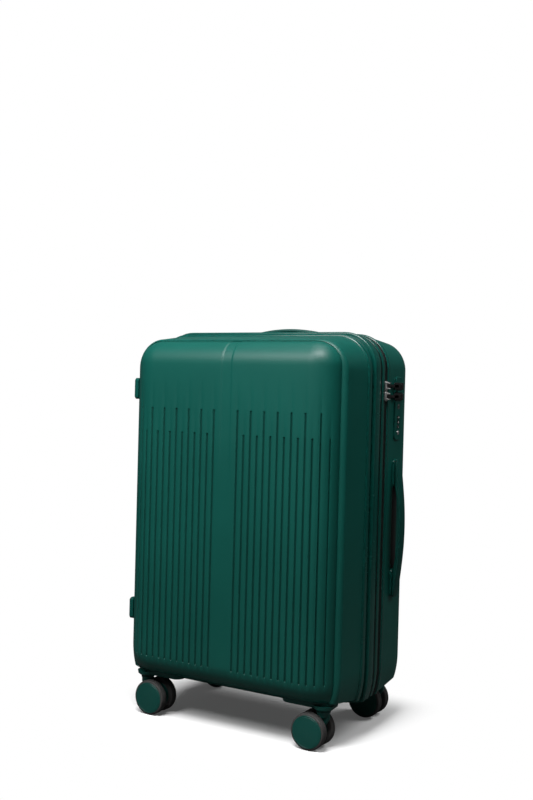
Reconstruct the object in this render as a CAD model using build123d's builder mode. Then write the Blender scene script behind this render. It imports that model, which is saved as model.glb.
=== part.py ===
from build123d import *
import os

# Hard shell suitcase on four twin casters.
# Millimetres. X runs across the case, Y from front to back, Z up. The floor is Z = 0,
# and the origin lies on it under the middle of the closed case.

# Case outline, seen from the front
CASE_WIDTH = 424.0
CASE_HEIGHT = 610.0
CASE_DEPTH = 285.0
RIM_BELOW_WHEEL_TOP = 4.0
RIM_CORNER_R = 59.0
WALL = 3.0

# Front and back shells: a tapered frame with a bevelled shoulder, and a domed panel rising out of it
FRONT_SHELL_DEPTH = 108.0
FRONT_RIM_STEP_X = 2.5
FRONT_RIM_STEP_Z = 5.5
BACK_RIM_STEP = 1.0
FRONT_TAPER_X = 4.5
FRONT_TAPER_Z = 9.5
BACK_TAPER_X = 5.0
BACK_TAPER_Z = 8.0
FRAME_CORNER_R = 55.0
SHOULDER_BEVEL = 2.0
PANEL_RISE = 30.0
PANEL_STEP_X = 15.5
PANEL_STEP_Z = 18.0
PANEL_ROUND = 42.0
PANEL_ROOT = 25.0

# Vertical grooves in each panel
GROOVE_FIRST_X = 23.0
GROOVE_PITCH = 12.6
GROOVE_WIDTH = 2.4
GROOVE_DEPTH = 1.2
GROOVE_EDGE_ROOM = 9.0
GROOVE_FROM_BOTTOM = 51.5
GROOVE_LONG_FROM_TOP = 132.0
GROOVE_SHORT_FROM_TOP = 171.5

# Rings between the shells, in order from front to back
BAND_RECESS_W = 9.5
BAND_BEAD_W = 7.0
BAND_LAND_W = 16.5
EXPANSION_ZIP_HALF_W = 2.85
STRIP_W = 10.0
MAIN_ZIP_HALF_W = 4.85
BACK_TRIM_W = 6.5
PARTING_GAP = 0.3
RING_WALL = 5.5
RECESS_STEP = 4.0
BEAD_PROUD = 1.2
BEAD_CHAMFER = 2.0
ZIP_STEP = 1.4
STRIP_STEP = 0.7
BACK_TRIM_PROUD = 0.3
BACK_TRIM_CHAMFER = 1.6
FRONT_TRIM_W = 8.0
FRONT_TRIM_PROUD = 1.6
FRONT_TRIM_CHAMFER = 1.2
GUSSET_WALL = 1.0
SEAT_GAP = 0.2
BODY_GAP = 0.3
RUNNING_GAP = 0.05

# Hinge tape on the left inside, across the main zip
HINGE_TAPE_HEIGHT = 400.0
HINGE_TAPE_WALL = 0.8

# Casters
WHEEL_DIAMETER = 59.0
WHEEL_WIDTH = 14.5
WHEEL_SPACE = 14.5
TYRE_THICKNESS = 6.5
TYRE_CHAMFER = 2.6
HUB_DISH = 1.6
HUB_RELIEF = 3.0
HUB_CAP_R = 7.0
AXLE_R = 3.0
AXLE_TRAIL = 18.0
STEM_R = 5.0
STEM_LENGTH = 25.0
STEM_FROM_SIDE = 38.0
STEM_FROM_PANEL = 40.0
FORK_LEG_W = 11.0
FORK_TOP_R = 11.0
FORK_FOOT_R = 8.0
FORK_BOSS_R = 13.0
FORK_BOSS_H = 3.0
FORK_BOSS_CLEARANCE = 1.2
PLATE_LENGTH = 100.0
PLATE_FROM_PANEL = 28.0
PLATE_DEPTH = 42.0
PLATE_BLANK_H = 15.0
PLATE_OVERHANG = 24.0
PLATE_CORNER_R = 16.0
PLATE_CHAMFER = 1.0
PLATE_BOSS_R = 15.0
PLATE_BOSS_TOP = 3.0

# Feet on the left side, to stand the case on that side
FOOT_FROM_BOTTOM = 121.0
FOOT_FROM_TOP = 101.5
FOOT_HEIGHT = 37.0
FOOT_WIDTH = 15.0
FOOT_PROUD = 3.0
FOOT_ROUND = 5.0
FOOT_CHAMFER = 2.5

# Carry handles
HANDLE_WIDTH = 21.0
HANDLE_THICK = 6.5
HANDLE_TIP = 3.0
HANDLE_EDGE_CHAMFER = 1.8
HANDLE_LIFT = 10.0
HANDLE_LEG_L = 9.0
HANDLE_LEG_W = 13.0
HANDLE_LEG_INSET = 15.0
HANDLE_STOP_L = 13.0
HANDLE_STOP_W = 17.0
HANDLE_STOP_H = 3.0
HANDLE_LEG_ROOT = 1.0
MOUNT_LENGTH = 27.0
MOUNT_WIDTH = 22.0
MOUNT_HEIGHT = 4.0
MOUNT_CORNER_R = 6.0
TOP_HANDLE_FROM_BACK = 77.0
TOP_HANDLE_HALF = 74.0
TOP_HANDLE_RISE = 16.5
TOP_HANDLE_END = 20.0
SIDE_HANDLE_FROM_BACK = 73.0
SIDE_HANDLE_BELOW_LOCK = 32.0
SIDE_HANDLE_HALF = 117.0
SIDE_HANDLE_RISE = 18.2
SIDE_HANDLE_END = 49.0

# Telescopic trolley handle inside the back shell
TROLLEY_FROM_BACK = 44.5
TROLLEY_HALF = 72.0
OUTER_TUBE_X = 20.0
OUTER_TUBE_Y = 13.0
TUBE_WALL = 1.2
TUBE_CORNER_R = 3.0
TUBE_STEP = 14.0
BEZEL_LENGTH = 196.0
BEZEL_FROM_BACK = 32.5
BEZEL_WIDTH = 31.0
BEZEL_CORNER_R = 7.0
BEZEL_LIP = 2.0
BEZEL_PROUD = 1.5
CUP_DEPTH = 27.0
CUP_FLOOR = 3.0
GRIP_LENGTH = 176.0
GRIP_WIDTH = 16.0
GRIP_CORNER_R = 7.5
GRIP_PROUD = 1.0
GRIP_GAP = 1.0
GRIP_LIFT_OFF = 3.0
GRIP_SOCKET = 8.0
SCOOP_LENGTH = 76.0
SCOOP_WIDTH = 8.0
SCOOP_DEPTH = 15.0
RELEASE_LENGTH = 34.0
RELEASE_WIDTH = 8.0
RELEASE_PROUD = 2.2
RELEASE_HEIGHT = 3.4
RELEASE_TRAVEL = 2.5
TROLLEY_FOOT_LENGTH = 172.0
TROLLEY_FOOT_HEIGHT = 32.0
TROLLEY_FOOT_SOCKET = 18.0

# Combination lock on the right side of the back shell
LOCK_FROM_BACK = 71.0
LOCK_FROM_TOP = 124.0
LOCK_LENGTH = 108.0
LOCK_WIDTH = 28.0
LOCK_CORNER_R = 8.0
LOCK_PROUD = 3.2
LOCK_DEPTH = 19.0
LOCK_FACE_BEVEL = 1.2
DIAL_COUNT = 3
DIAL_TOP_BELOW = 15.4
DIAL_PITCH = 7.7
DIAL_R = 8.0
DIAL_WIDTH = 5.4
DIAL_PROUD = 1.0
DIAL_FACES = 10
DIAL_SHAFT_R = 1.6
DIAL_CLEARANCE = 0.4
KEY_ABOVE = 3.5
KEY_R = 4.6
KEY_DEPTH = 9.0
KEYWAY_LENGTH = 5.4
KEYWAY_WIDTH = 1.3
KEYWAY_DEPTH = 5.0
LOCK_BUTTON_BELOW = 41.0
LOCK_BUTTON_R = 3.8
LOCK_BUTTON_PROUD = 0.9
LOCK_BUTTON_HEIGHT = 4.0
LOCK_BUTTON_TRAVEL = 1.5
DOCK_RIB_W = 2.4

# Zip sliders with their pull tabs docked at the lock
SLIDER_PAIR_ABOVE = 29.0
SLIDER_SPREAD = 17.6
SLIDER_LENGTH = 16.0
SLIDER_WIDTH = 9.0
SLIDER_BASE = 2.0
SLIDER_EAR_W = 2.0
SLIDER_EAR_DEPTH = 6.0
SLIDER_PIN_R = 1.2
TAB_EYE_R = 2.8
TAB_EYE_W = 6.6
TAB_WIDTH = 12.0
TAB_THICK = 1.8
TAB_CORNER_R = 3.0
TAB_NECK_W = 6.6
TAB_BLADE = 38.0

# Linings and packing straps
LINING_WALL = 1.0
LINING_CORNER_R = 42.0
LINING_SIDE_ROOM = 25.0
LINING_FLOOR_ROOM = 41.0
LINING_TOP_ROOM = 47.0
LINING_CHAMFER = 12.0
FRONT_LINING_GAP = 9.0
FRONT_LINING_CHAMFER = 30.0
TROLLEY_COVER_GAP = 2.0
STRAP_WIDTH = 25.0
STRAP_WALL = 1.2
STRAP_LENGTH = 520.0
STRAP_ANGLE = 56.0
BUCKLE_LENGTH = 46.0
BUCKLE_WIDTH = 36.0
BUCKLE_HEIGHT = 8.0
POCKET_WIDTH = 290.0
POCKET_HEIGHT = 400.0
POCKET_WALL = 1.0

# Places worked out from the sizes above
RIM_BOTTOM_Z = WHEEL_DIAMETER - RIM_BELOW_WHEEL_TOP
HALF_W = CASE_WIDTH / 2
HALF_H = CASE_HEIGHT / 2
MID_Z = RIM_BOTTOM_Z + HALF_H
RIM_TOP_Z = RIM_BOTTOM_Z + CASE_HEIGHT
FRONT_Y = -CASE_DEPTH / 2
BACK_Y = CASE_DEPTH / 2
FRONT_RIM_Y = FRONT_Y + FRONT_SHELL_DEPTH
BAND_BEAD_Y = FRONT_RIM_Y + BAND_RECESS_W
BAND_LAND_Y = BAND_BEAD_Y + BAND_BEAD_W
EXPANSION_FRONT_Y = BAND_LAND_Y + BAND_LAND_W
EXPANSION_BACK_Y = EXPANSION_FRONT_Y + EXPANSION_ZIP_HALF_W + PARTING_GAP
STRIP_Y = EXPANSION_BACK_Y + EXPANSION_ZIP_HALF_W
MAIN_FRONT_Y = STRIP_Y + STRIP_W
MAIN_BACK_Y = MAIN_FRONT_Y + MAIN_ZIP_HALF_W + PARTING_GAP
BACK_TRIM_Y = MAIN_BACK_Y + MAIN_ZIP_HALF_W
BACK_RIM_Y = BACK_TRIM_Y + BACK_TRIM_W
MAIN_PARTING_Y = MAIN_BACK_Y - PARTING_GAP / 2
BACK_SHOULDER_Y = BACK_Y - PANEL_RISE
WHEEL_R = WHEEL_DIAMETER / 2
GROOVE_LAST_X = HALF_W - PANEL_STEP_X - GROOVE_EDGE_ROOM
GROOVES_PER_SIDE = 1 + int((GROOVE_LAST_X - GROOVE_FIRST_X) / GROOVE_PITCH)
STEM_X = HALF_W - STEM_FROM_SIDE
STEM_Y = BACK_Y - STEM_FROM_PANEL
PLATE_MID_Y = BACK_Y - PLATE_FROM_PANEL - PLATE_DEPTH / 2
FORK_BOSS_Z = WHEEL_DIAMETER + FORK_BOSS_CLEARANCE
TOP_HANDLE_Y = BACK_Y - TOP_HANDLE_FROM_BACK
SIDE_HANDLE_Y = BACK_Y - SIDE_HANDLE_FROM_BACK
TROLLEY_Y = BACK_Y - TROLLEY_FROM_BACK
BEZEL_MID_Y = BACK_Y - BEZEL_FROM_BACK - BEZEL_WIDTH / 2
LOCK_Y = BACK_Y - LOCK_FROM_BACK
LOCK_Z = RIM_TOP_Z - LOCK_FROM_TOP
SIDE_HANDLE_Z = LOCK_Z - LOCK_LENGTH / 2 - SIDE_HANDLE_BELOW_LOCK - SIDE_HANDLE_HALF
KEY_Z = LOCK_Z + KEY_ABOVE
LOCK_BUTTON_Z = LOCK_Z - LOCK_BUTTON_BELOW
DOCK_Z = LOCK_Z + SLIDER_PAIR_ABOVE
PLATE_BOTTOM_Z = FORK_BOSS_Z + FORK_BOSS_H + BODY_GAP
PLATE_TOP_Z = FORK_BOSS_Z + FORK_BOSS_H + STEM_LENGTH + PLATE_BOSS_TOP

os.makedirs("parts", exist_ok=True)


def keep(builder, label):
    """Label a finished piece and write it to its own STEP file."""
    builder.part.label = label
    export_step(builder.part, f"parts/{label}.step")


def upright(y):
    """Sketch plane facing the front, at depth y, centred on the case: local x is X and local y is Z."""
    return Plane(origin=(0, y, MID_Z), x_dir=(1, 0, 0), z_dir=(0, -1, 0))


def back_slope(y, rim, taper_step):
    """Half-size of the back shell's tapered frame at depth y, from its half-size at the rim."""
    return rim - taper_step * (y - BACK_RIM_Y) / (BACK_SHOULDER_Y - BACK_RIM_Y)


def panel_form(facing, inset):
    """Solid of the domed panel; facing is -1 for the front and +1 for the back, inset shrinks it all round."""
    with BuildPart() as panel:
        with BuildSketch(upright(facing * (CASE_DEPTH / 2 - inset))):
            Rectangle(2 * (HALF_W - PANEL_STEP_X - inset), 2 * (HALF_H - PANEL_STEP_Z - inset))
        extrude(amount=facing * (PANEL_RISE + PANEL_ROOT))
        outer_face = panel.faces().sort_by(Axis.Y)[-1 if facing > 0 else 0]
        fillet(panel.edges().filter_by(Axis.Y) + outer_face.edges(), PANEL_ROUND - inset)
    return panel.part


def half_form(facing, rim_y, rim_step_x, rim_step_z, taper_x, taper_z, inset):
    """Solid of one case half: a frame that tapers from the rim to a bevelled shoulder, and the panel on it."""
    shoulder_y = facing * (CASE_DEPTH / 2 - PANEL_RISE - inset)
    rim_w = HALF_W - rim_step_x - inset
    rim_h = HALF_H - rim_step_z - inset
    with BuildPart() as half:
        with BuildSketch(Plane.XY.offset(MID_Z)):
            with BuildLine():
                Polyline(
                    (-rim_w, rim_y),
                    (rim_w, rim_y),
                    (rim_w - taper_x, shoulder_y),
                    (taper_x - rim_w, shoulder_y),
                    close=True,
                )
            make_face()
        extrude(amount=CASE_HEIGHT, both=True)
        with BuildSketch(Plane.YZ):
            with BuildLine():
                Polyline(
                    (rim_y, MID_Z - rim_h),
                    (rim_y, MID_Z + rim_h),
                    (shoulder_y, MID_Z + rim_h - taper_z),
                    (shoulder_y, MID_Z - rim_h + taper_z),
                    close=True,
                )
            make_face()
        extrude(amount=CASE_WIDTH, both=True, mode=Mode.INTERSECT)
        corner_edges = half.edges() - half.edges().group_by(Axis.Y)[0] - half.edges().group_by(Axis.Y)[-1]
        fillet(corner_edges, FRAME_CORNER_R - inset)
        if inset <= 0:
            shoulder_face = half.faces().sort_by(Axis.Y)[-1 if facing > 0 else 0]
            chamfer(shoulder_face.edges(), SHOULDER_BEVEL)
        add(panel_form(facing, inset))
    return half.part


def front_form(inset):
    return half_form(-1, FRONT_RIM_Y, FRONT_RIM_STEP_X, FRONT_RIM_STEP_Z, FRONT_TAPER_X, FRONT_TAPER_Z, inset)


def back_form(inset):
    return half_form(1, BACK_RIM_Y, BACK_RIM_STEP, BACK_RIM_STEP, BACK_TAPER_X, BACK_TAPER_Z, inset)


def groove_form(facing):
    """Slots in the skin of a panel, long and short in turn, on both sides of the plain middle band."""
    with BuildPart() as grooves:
        with BuildSketch(upright(facing * CASE_DEPTH / 2)):
            for index in range(GROOVES_PER_SIDE):
                from_top = GROOVE_SHORT_FROM_TOP if index % 2 else GROOVE_LONG_FROM_TOP
                groove_x = GROOVE_FIRST_X + index * GROOVE_PITCH
                groove_z = (GROOVE_FROM_BOTTOM - from_top) / 2
                with Locations((groove_x, groove_z), (-groove_x, groove_z)):
                    Rectangle(GROOVE_WIDTH, CASE_HEIGHT - GROOVE_FROM_BOTTOM - from_top)
        extrude(amount=facing * PANEL_RISE)
        add(panel_form(facing, GROOVE_DEPTH), mode=Mode.SUBTRACT)
    return grooves.part


def ring_form(y, width, step):
    """Plain ring that follows the rim: step sets its outer face back from the rim outline."""
    with BuildPart() as ring:
        with BuildSketch(upright(y)):
            RectangleRounded(2 * (HALF_W - step), 2 * (HALF_H - step), RIM_CORNER_R - step)
            RectangleRounded(
                2 * (HALF_W - RING_WALL),
                2 * (HALF_H - RING_WALL),
                RIM_CORNER_R - RING_WALL,
                mode=Mode.SUBTRACT,
            )
        extrude(amount=-width)
    return ring.part


def bead_form(y, width, proud, bevel):
    """Ring with a bevelled outer face that stands proud of the rim outline."""
    with BuildPart() as bead:
        with BuildSketch(upright(y)):
            RectangleRounded(2 * (HALF_W + proud), 2 * (HALF_H + proud), RIM_CORNER_R + proud)
        extrude(amount=-width)
        chamfer(bead.faces().filter_by(Axis.Y).edges(), bevel)
        with BuildSketch(upright(y)):
            RectangleRounded(2 * (HALF_W - RING_WALL), 2 * (HALF_H - RING_WALL), RIM_CORNER_R - RING_WALL)
        extrude(amount=-width, mode=Mode.SUBTRACT)
    return bead.part


front_outer = front_form(0)
front_inner = front_form(WALL)
back_outer = back_form(0)
back_inner = back_form(WALL)
BACK_TOP_RIM = HALF_H - BACK_RIM_STEP
BACK_SIDE_RIM = HALF_W - BACK_RIM_STEP
TOP_HANDLE_SEAT_Z = MID_Z + back_slope(TOP_HANDLE_Y, BACK_TOP_RIM, BACK_TAPER_Z)
SIDE_HANDLE_SEAT_X = back_slope(SIDE_HANDLE_Y, BACK_SIDE_RIM, BACK_TAPER_X)
LOCK_FACE_X = back_slope(LOCK_Y, BACK_SIDE_RIM, BACK_TAPER_X) + LOCK_PROUD
TROLLEY_TOP_Z = MID_Z + back_slope(TROLLEY_Y, BACK_TOP_RIM, BACK_TAPER_Z)
CUP_FLOOR_Z = TROLLEY_TOP_Z - CUP_DEPTH

# Carry handle planes: local x along the handle; the side plane holds its arch, the seat plane faces out
top_arch_plane = Plane(origin=(0, TOP_HANDLE_Y, TOP_HANDLE_SEAT_Z), x_dir=(1, 0, 0), z_dir=(0, -1, 0))
top_seat_plane = Plane(origin=(0, TOP_HANDLE_Y, TOP_HANDLE_SEAT_Z), x_dir=(1, 0, 0), z_dir=(0, 0, 1))
side_arch_plane = Plane(
    origin=(SIDE_HANDLE_SEAT_X, SIDE_HANDLE_Y, SIDE_HANDLE_Z), x_dir=(0, 0, 1), z_dir=(0, 1, 0)
)
side_seat_plane = Plane(
    origin=(SIDE_HANDLE_SEAT_X, SIDE_HANDLE_Y, SIDE_HANDLE_Z), x_dir=(0, 0, 1), z_dir=(1, 0, 0)
)
TOP_LEG_AT = TOP_HANDLE_HALF - HANDLE_LEG_INSET
SIDE_LEG_AT = SIDE_HANDLE_HALF - HANDLE_LEG_INSET
LEG_HOLE_L = HANDLE_LEG_L + 2 * BODY_GAP
LEG_HOLE_W = HANDLE_LEG_W + 2 * BODY_GAP

CASTERS = [
    ("front_left", -1, -1),
    ("front_right", 1, -1),
    ("back_left", -1, 1),
    ("back_right", 1, 1),
]


# Front shell with its grooves, and holes for the two caster bosses
with BuildPart() as front_shell:
    add(front_outer)
    add(front_inner, mode=Mode.SUBTRACT)
    add(groove_form(-1), mode=Mode.SUBTRACT)
    with BuildSketch(Plane.XY.offset(PLATE_BOTTOM_Z)):
        with Locations((-STEM_X, -STEM_Y), (STEM_X, -STEM_Y)):
            Circle(PLATE_BOSS_R + SEAT_GAP)
    extrude(amount=PLATE_TOP_Z - PLATE_BOTTOM_Z, mode=Mode.SUBTRACT)
keep(front_shell, "front_shell")

# Back shell with the same grooves, caster holes, and cut-outs for trolley, lock and carry handles
with BuildPart() as back_shell:
    add(back_outer)
    add(back_inner, mode=Mode.SUBTRACT)
    add(groove_form(1), mode=Mode.SUBTRACT)
    with BuildSketch(Plane.XY.offset(PLATE_BOTTOM_Z)):
        with Locations((-STEM_X, STEM_Y), (STEM_X, STEM_Y)):
            Circle(PLATE_BOSS_R + SEAT_GAP)
    extrude(amount=PLATE_TOP_Z - PLATE_BOTTOM_Z, mode=Mode.SUBTRACT)
    with BuildSketch(Plane.XY.offset(CUP_FLOOR_Z)):
        with Locations((0, BEZEL_MID_Y)):
            RectangleRounded(BEZEL_LENGTH + 2 * SEAT_GAP, BEZEL_WIDTH + 2 * SEAT_GAP, BEZEL_CORNER_R + SEAT_GAP)
    extrude(amount=2 * CUP_DEPTH, mode=Mode.SUBTRACT)
    with BuildSketch(Plane.YZ.offset(LOCK_FACE_X - LOCK_DEPTH)):
        with Locations((LOCK_Y, LOCK_Z)):
            RectangleRounded(LOCK_WIDTH + 2 * SEAT_GAP, LOCK_LENGTH + 2 * SEAT_GAP, LOCK_CORNER_R + SEAT_GAP)
    extrude(amount=LOCK_DEPTH, mode=Mode.SUBTRACT)
    for seat_plane, leg_at in ((top_seat_plane, TOP_LEG_AT), (side_seat_plane, SIDE_LEG_AT)):
        with BuildSketch(seat_plane):
            with Locations((leg_at, 0), (-leg_at, 0)):
                Rectangle(LEG_HOLE_L, LEG_HOLE_W)
        extrude(amount=3 * WALL, both=True, mode=Mode.SUBTRACT)
keep(back_shell, "back_shell")

# Rolled trim on the front shell's rim: a slice of a slightly larger shell, less the shell itself
with BuildPart() as front_trim:
    add(front_form(-FRONT_TRIM_PROUD))
    with BuildSketch(upright(FRONT_RIM_Y - FRONT_TRIM_W)):
        Rectangle(2 * CASE_WIDTH, 2 * CASE_HEIGHT)
    extrude(amount=-FRONT_TRIM_W, mode=Mode.INTERSECT)
    chamfer(front_trim.faces().sort_by(Axis.Y)[0].edges(), FRONT_TRIM_CHAMFER)
    add(front_outer, mode=Mode.SUBTRACT)
keep(front_trim, "front_trim")

# Band behind the front shell: a recess, a bead and a plain land
with BuildPart() as front_band:
    add(ring_form(FRONT_RIM_Y, BAND_RECESS_W, RECESS_STEP))
    add(bead_form(BAND_BEAD_Y, BAND_BEAD_W, BEAD_PROUD, BEAD_CHAMFER))
    add(ring_form(BAND_LAND_Y, BAND_LAND_W, 0))
keep(front_band, "front_band")

# Zips and the strip between them; each zip is two halves that part along its middle
with BuildPart() as expansion_zip_front:
    add(ring_form(EXPANSION_FRONT_Y, EXPANSION_ZIP_HALF_W, ZIP_STEP))
keep(expansion_zip_front, "expansion_zip_front")

with BuildPart() as expansion_zip_back:
    add(ring_form(EXPANSION_BACK_Y, EXPANSION_ZIP_HALF_W, ZIP_STEP))
keep(expansion_zip_back, "expansion_zip_back")

with BuildPart() as expander_strip:
    add(ring_form(STRIP_Y, STRIP_W, STRIP_STEP))
keep(expander_strip, "expander_strip")

with BuildPart() as main_zip_front:
    add(ring_form(MAIN_FRONT_Y, MAIN_ZIP_HALF_W, ZIP_STEP))
keep(main_zip_front, "main_zip_front")

with BuildPart() as main_zip_back:
    add(ring_form(MAIN_BACK_Y, MAIN_ZIP_HALF_W, ZIP_STEP))
keep(main_zip_back, "main_zip_back")

with BuildPart() as back_trim:
    add(bead_form(BACK_TRIM_Y, BACK_TRIM_W, BACK_TRIM_PROUD, BACK_TRIM_CHAMFER))
keep(back_trim, "back_trim")

# Gusset of cloth folded behind the expansion zip
GUSSET_STEP = RING_WALL + SEAT_GAP
with BuildPart() as expansion_gusset:
    with BuildSketch(upright(EXPANSION_FRONT_Y)):
        RectangleRounded(2 * (HALF_W - GUSSET_STEP), 2 * (HALF_H - GUSSET_STEP), RIM_CORNER_R - GUSSET_STEP)
        RectangleRounded(
            2 * (HALF_W - GUSSET_STEP - GUSSET_WALL),
            2 * (HALF_H - GUSSET_STEP - GUSSET_WALL),
            RIM_CORNER_R - GUSSET_STEP - GUSSET_WALL,
            mode=Mode.SUBTRACT,
        )
    extrude(amount=-(MAIN_FRONT_Y - EXPANSION_FRONT_Y))
keep(expansion_gusset, "expansion_gusset")

# Hinge tape on the left, inside the rings
with BuildPart() as hinge_tape:
    with BuildSketch(Plane.YZ.offset(-(HALF_W - GUSSET_STEP))):
        with Locations(((MAIN_FRONT_Y + BACK_TRIM_Y) / 2, MID_Z)):
            Rectangle(BACK_TRIM_Y - MAIN_FRONT_Y, HINGE_TAPE_HEIGHT)
    extrude(amount=HINGE_TAPE_WALL)
keep(hinge_tape, "hinge_tape")

# Wheel housings: a plate under the shell's bottom and a boss with the stem's bearing through it
for half_name, facing, outer in (("front", -1, front_outer), ("back", 1, back_outer)):
    with BuildPart() as caster_plates:
        with BuildSketch(Plane.XY.offset(PLATE_BOTTOM_Z)):
            for side in (-1, 1):
                with Locations((side * (STEM_X + PLATE_OVERHANG - PLATE_LENGTH / 2), facing * PLATE_MID_Y)):
                    RectangleRounded(PLATE_LENGTH, PLATE_DEPTH, PLATE_CORNER_R)
        extrude(amount=PLATE_BLANK_H)
        chamfer(caster_plates.faces().group_by(Axis.Z)[0].edges(), PLATE_CHAMFER)
        add(outer, mode=Mode.SUBTRACT)
        with BuildSketch(Plane.XY.offset(PLATE_BOTTOM_Z)):
            with Locations((-STEM_X, facing * STEM_Y), (STEM_X, facing * STEM_Y)):
                Circle(PLATE_BOSS_R)
        extrude(amount=PLATE_TOP_Z - PLATE_BOTTOM_Z)
        with BuildSketch(Plane.XY.offset(PLATE_BOTTOM_Z)):
            with Locations((-STEM_X, facing * STEM_Y), (STEM_X, facing * STEM_Y)):
                Circle(STEM_R + RUNNING_GAP)
        extrude(amount=PLATE_TOP_Z - PLATE_BOTTOM_Z - PLATE_BOSS_TOP + BODY_GAP, mode=Mode.SUBTRACT)
    keep(caster_plates, f"{half_name}_caster_plates")

# Casters: a fork with its stem, an axle that turns in the fork, and two wheels pressed on the axle
WHEEL_INNER = WHEEL_SPACE / 2
WHEEL_OUTER = WHEEL_INNER + WHEEL_WIDTH
HUB_R = WHEEL_R - TYRE_THICKNESS
for corner, side, facing in CASTERS:
    stem_x = side * STEM_X
    stem_y = facing * STEM_Y
    axle_x = stem_x - side * AXLE_TRAIL
    fork_plane = Plane(origin=(0, stem_y, 0), x_dir=(1, 0, 0), z_dir=(0, -1, 0))
    wheel_plane = Plane(origin=(axle_x, stem_y, WHEEL_R), x_dir=(0, 1, 0), z_dir=(1, 0, 0))
    wheel_axis = Axis((axle_x, stem_y, WHEEL_R), (0, 1, 0))
    with BuildPart() as fork:
        with BuildSketch(fork_plane):
            with Locations((stem_x, FORK_BOSS_Z + FORK_BOSS_H - FORK_TOP_R)):
                Circle(FORK_TOP_R)
            with Locations((axle_x, WHEEL_R)):
                Circle(FORK_FOOT_R)
            make_hull()
        extrude(amount=FORK_LEG_W / 2, both=True)
        with BuildSketch(Plane.XY.offset(FORK_BOSS_Z)):
            with Locations((stem_x, stem_y)):
                Circle(FORK_BOSS_R)
        extrude(amount=FORK_BOSS_H)
        with BuildSketch(Plane.XY.offset(FORK_BOSS_Z)):
            with Locations((stem_x, stem_y)):
                Circle(STEM_R)
        extrude(amount=FORK_BOSS_H + STEM_LENGTH)
        with BuildSketch(fork_plane):
            with Locations((axle_x, WHEEL_R)):
                Circle(AXLE_R + RUNNING_GAP)
        extrude(amount=FORK_LEG_W, both=True, mode=Mode.SUBTRACT)
    keep(fork, f"{corner}_fork")

    with BuildPart() as axle:
        with BuildSketch(fork_plane):
            with Locations((axle_x, WHEEL_R)):
                Circle(AXLE_R)
        extrude(amount=WHEEL_OUTER - HUB_RELIEF, both=True)
    keep(axle, f"{corner}_axle")

    with BuildPart() as wheel_hubs:
        with BuildSketch(wheel_plane):
            with BuildLine():
                Polyline(
                    (WHEEL_OUTER, 0),
                    (WHEEL_OUTER - HUB_RELIEF, 0),
                    (WHEEL_OUTER - HUB_RELIEF, AXLE_R),
                    (WHEEL_INNER, AXLE_R),
                    (WHEEL_INNER, HUB_R),
                    (WHEEL_OUTER - HUB_DISH, HUB_R),
                    (WHEEL_OUTER, HUB_CAP_R),
                    close=True,
                )
            make_face()
        revolve(axis=wheel_axis)
        mirror(about=fork_plane)
    keep(wheel_hubs, f"{corner}_wheel_hubs")

    with BuildPart() as tyres:
        with BuildSketch(wheel_plane):
            with BuildLine():
                Polyline(
                    (WHEEL_INNER, HUB_R + RUNNING_GAP),
                    (WHEEL_INNER, WHEEL_R - TYRE_CHAMFER),
                    (WHEEL_INNER + TYRE_CHAMFER, WHEEL_R),
                    (WHEEL_OUTER - TYRE_CHAMFER, WHEEL_R),
                    (WHEEL_OUTER, WHEEL_R - TYRE_CHAMFER),
                    (WHEEL_OUTER, HUB_R + RUNNING_GAP),
                    close=True,
                )
            make_face()
        revolve(axis=wheel_axis)
        mirror(about=fork_plane)
    keep(tyres, f"{corner}_tyres")

# Side feet: two blocks on the left wall of each half, seated on its slope
for half_name, facing, outer in (("front", -1, front_outer), ("back", 1, back_outer)):
    with BuildPart() as side_feet:
        with BuildSketch(Plane.YZ.offset(-(HALF_W + FOOT_PROUD))):
            with Locations(
                (facing * STEM_Y, RIM_BOTTOM_Z + FOOT_FROM_BOTTOM),
                (facing * STEM_Y, RIM_TOP_Z - FOOT_FROM_TOP),
            ):
                RectangleRounded(FOOT_WIDTH, FOOT_HEIGHT, FOOT_ROUND)
        extrude(amount=FOOT_PROUD + BACK_TAPER_X + 2 * WALL)
        chamfer(side_feet.faces().group_by(Axis.X)[0].edges(), FOOT_CHAMFER)
        add(outer, mode=Mode.SUBTRACT)
    keep(side_feet, f"{half_name}_side_feet")


def handle_mounts_form(seat_plane, leg_at):
    """Two collars on the shell wall, each with a slot for a handle leg."""
    with BuildPart() as collars:
        with BuildSketch(seat_plane.offset(-MOUNT_LENGTH)):
            with Locations((leg_at, 0), (-leg_at, 0)):
                RectangleRounded(MOUNT_LENGTH, MOUNT_WIDTH, MOUNT_CORNER_R)
        extrude(amount=MOUNT_LENGTH + MOUNT_HEIGHT)
        add(back_outer, mode=Mode.SUBTRACT)
        with BuildSketch(seat_plane):
            with Locations((leg_at, 0), (-leg_at, 0)):
                Rectangle(LEG_HOLE_L, LEG_HOLE_W)
        extrude(amount=2 * MOUNT_HEIGHT, both=True, mode=Mode.SUBTRACT)
    return collars.part


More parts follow.
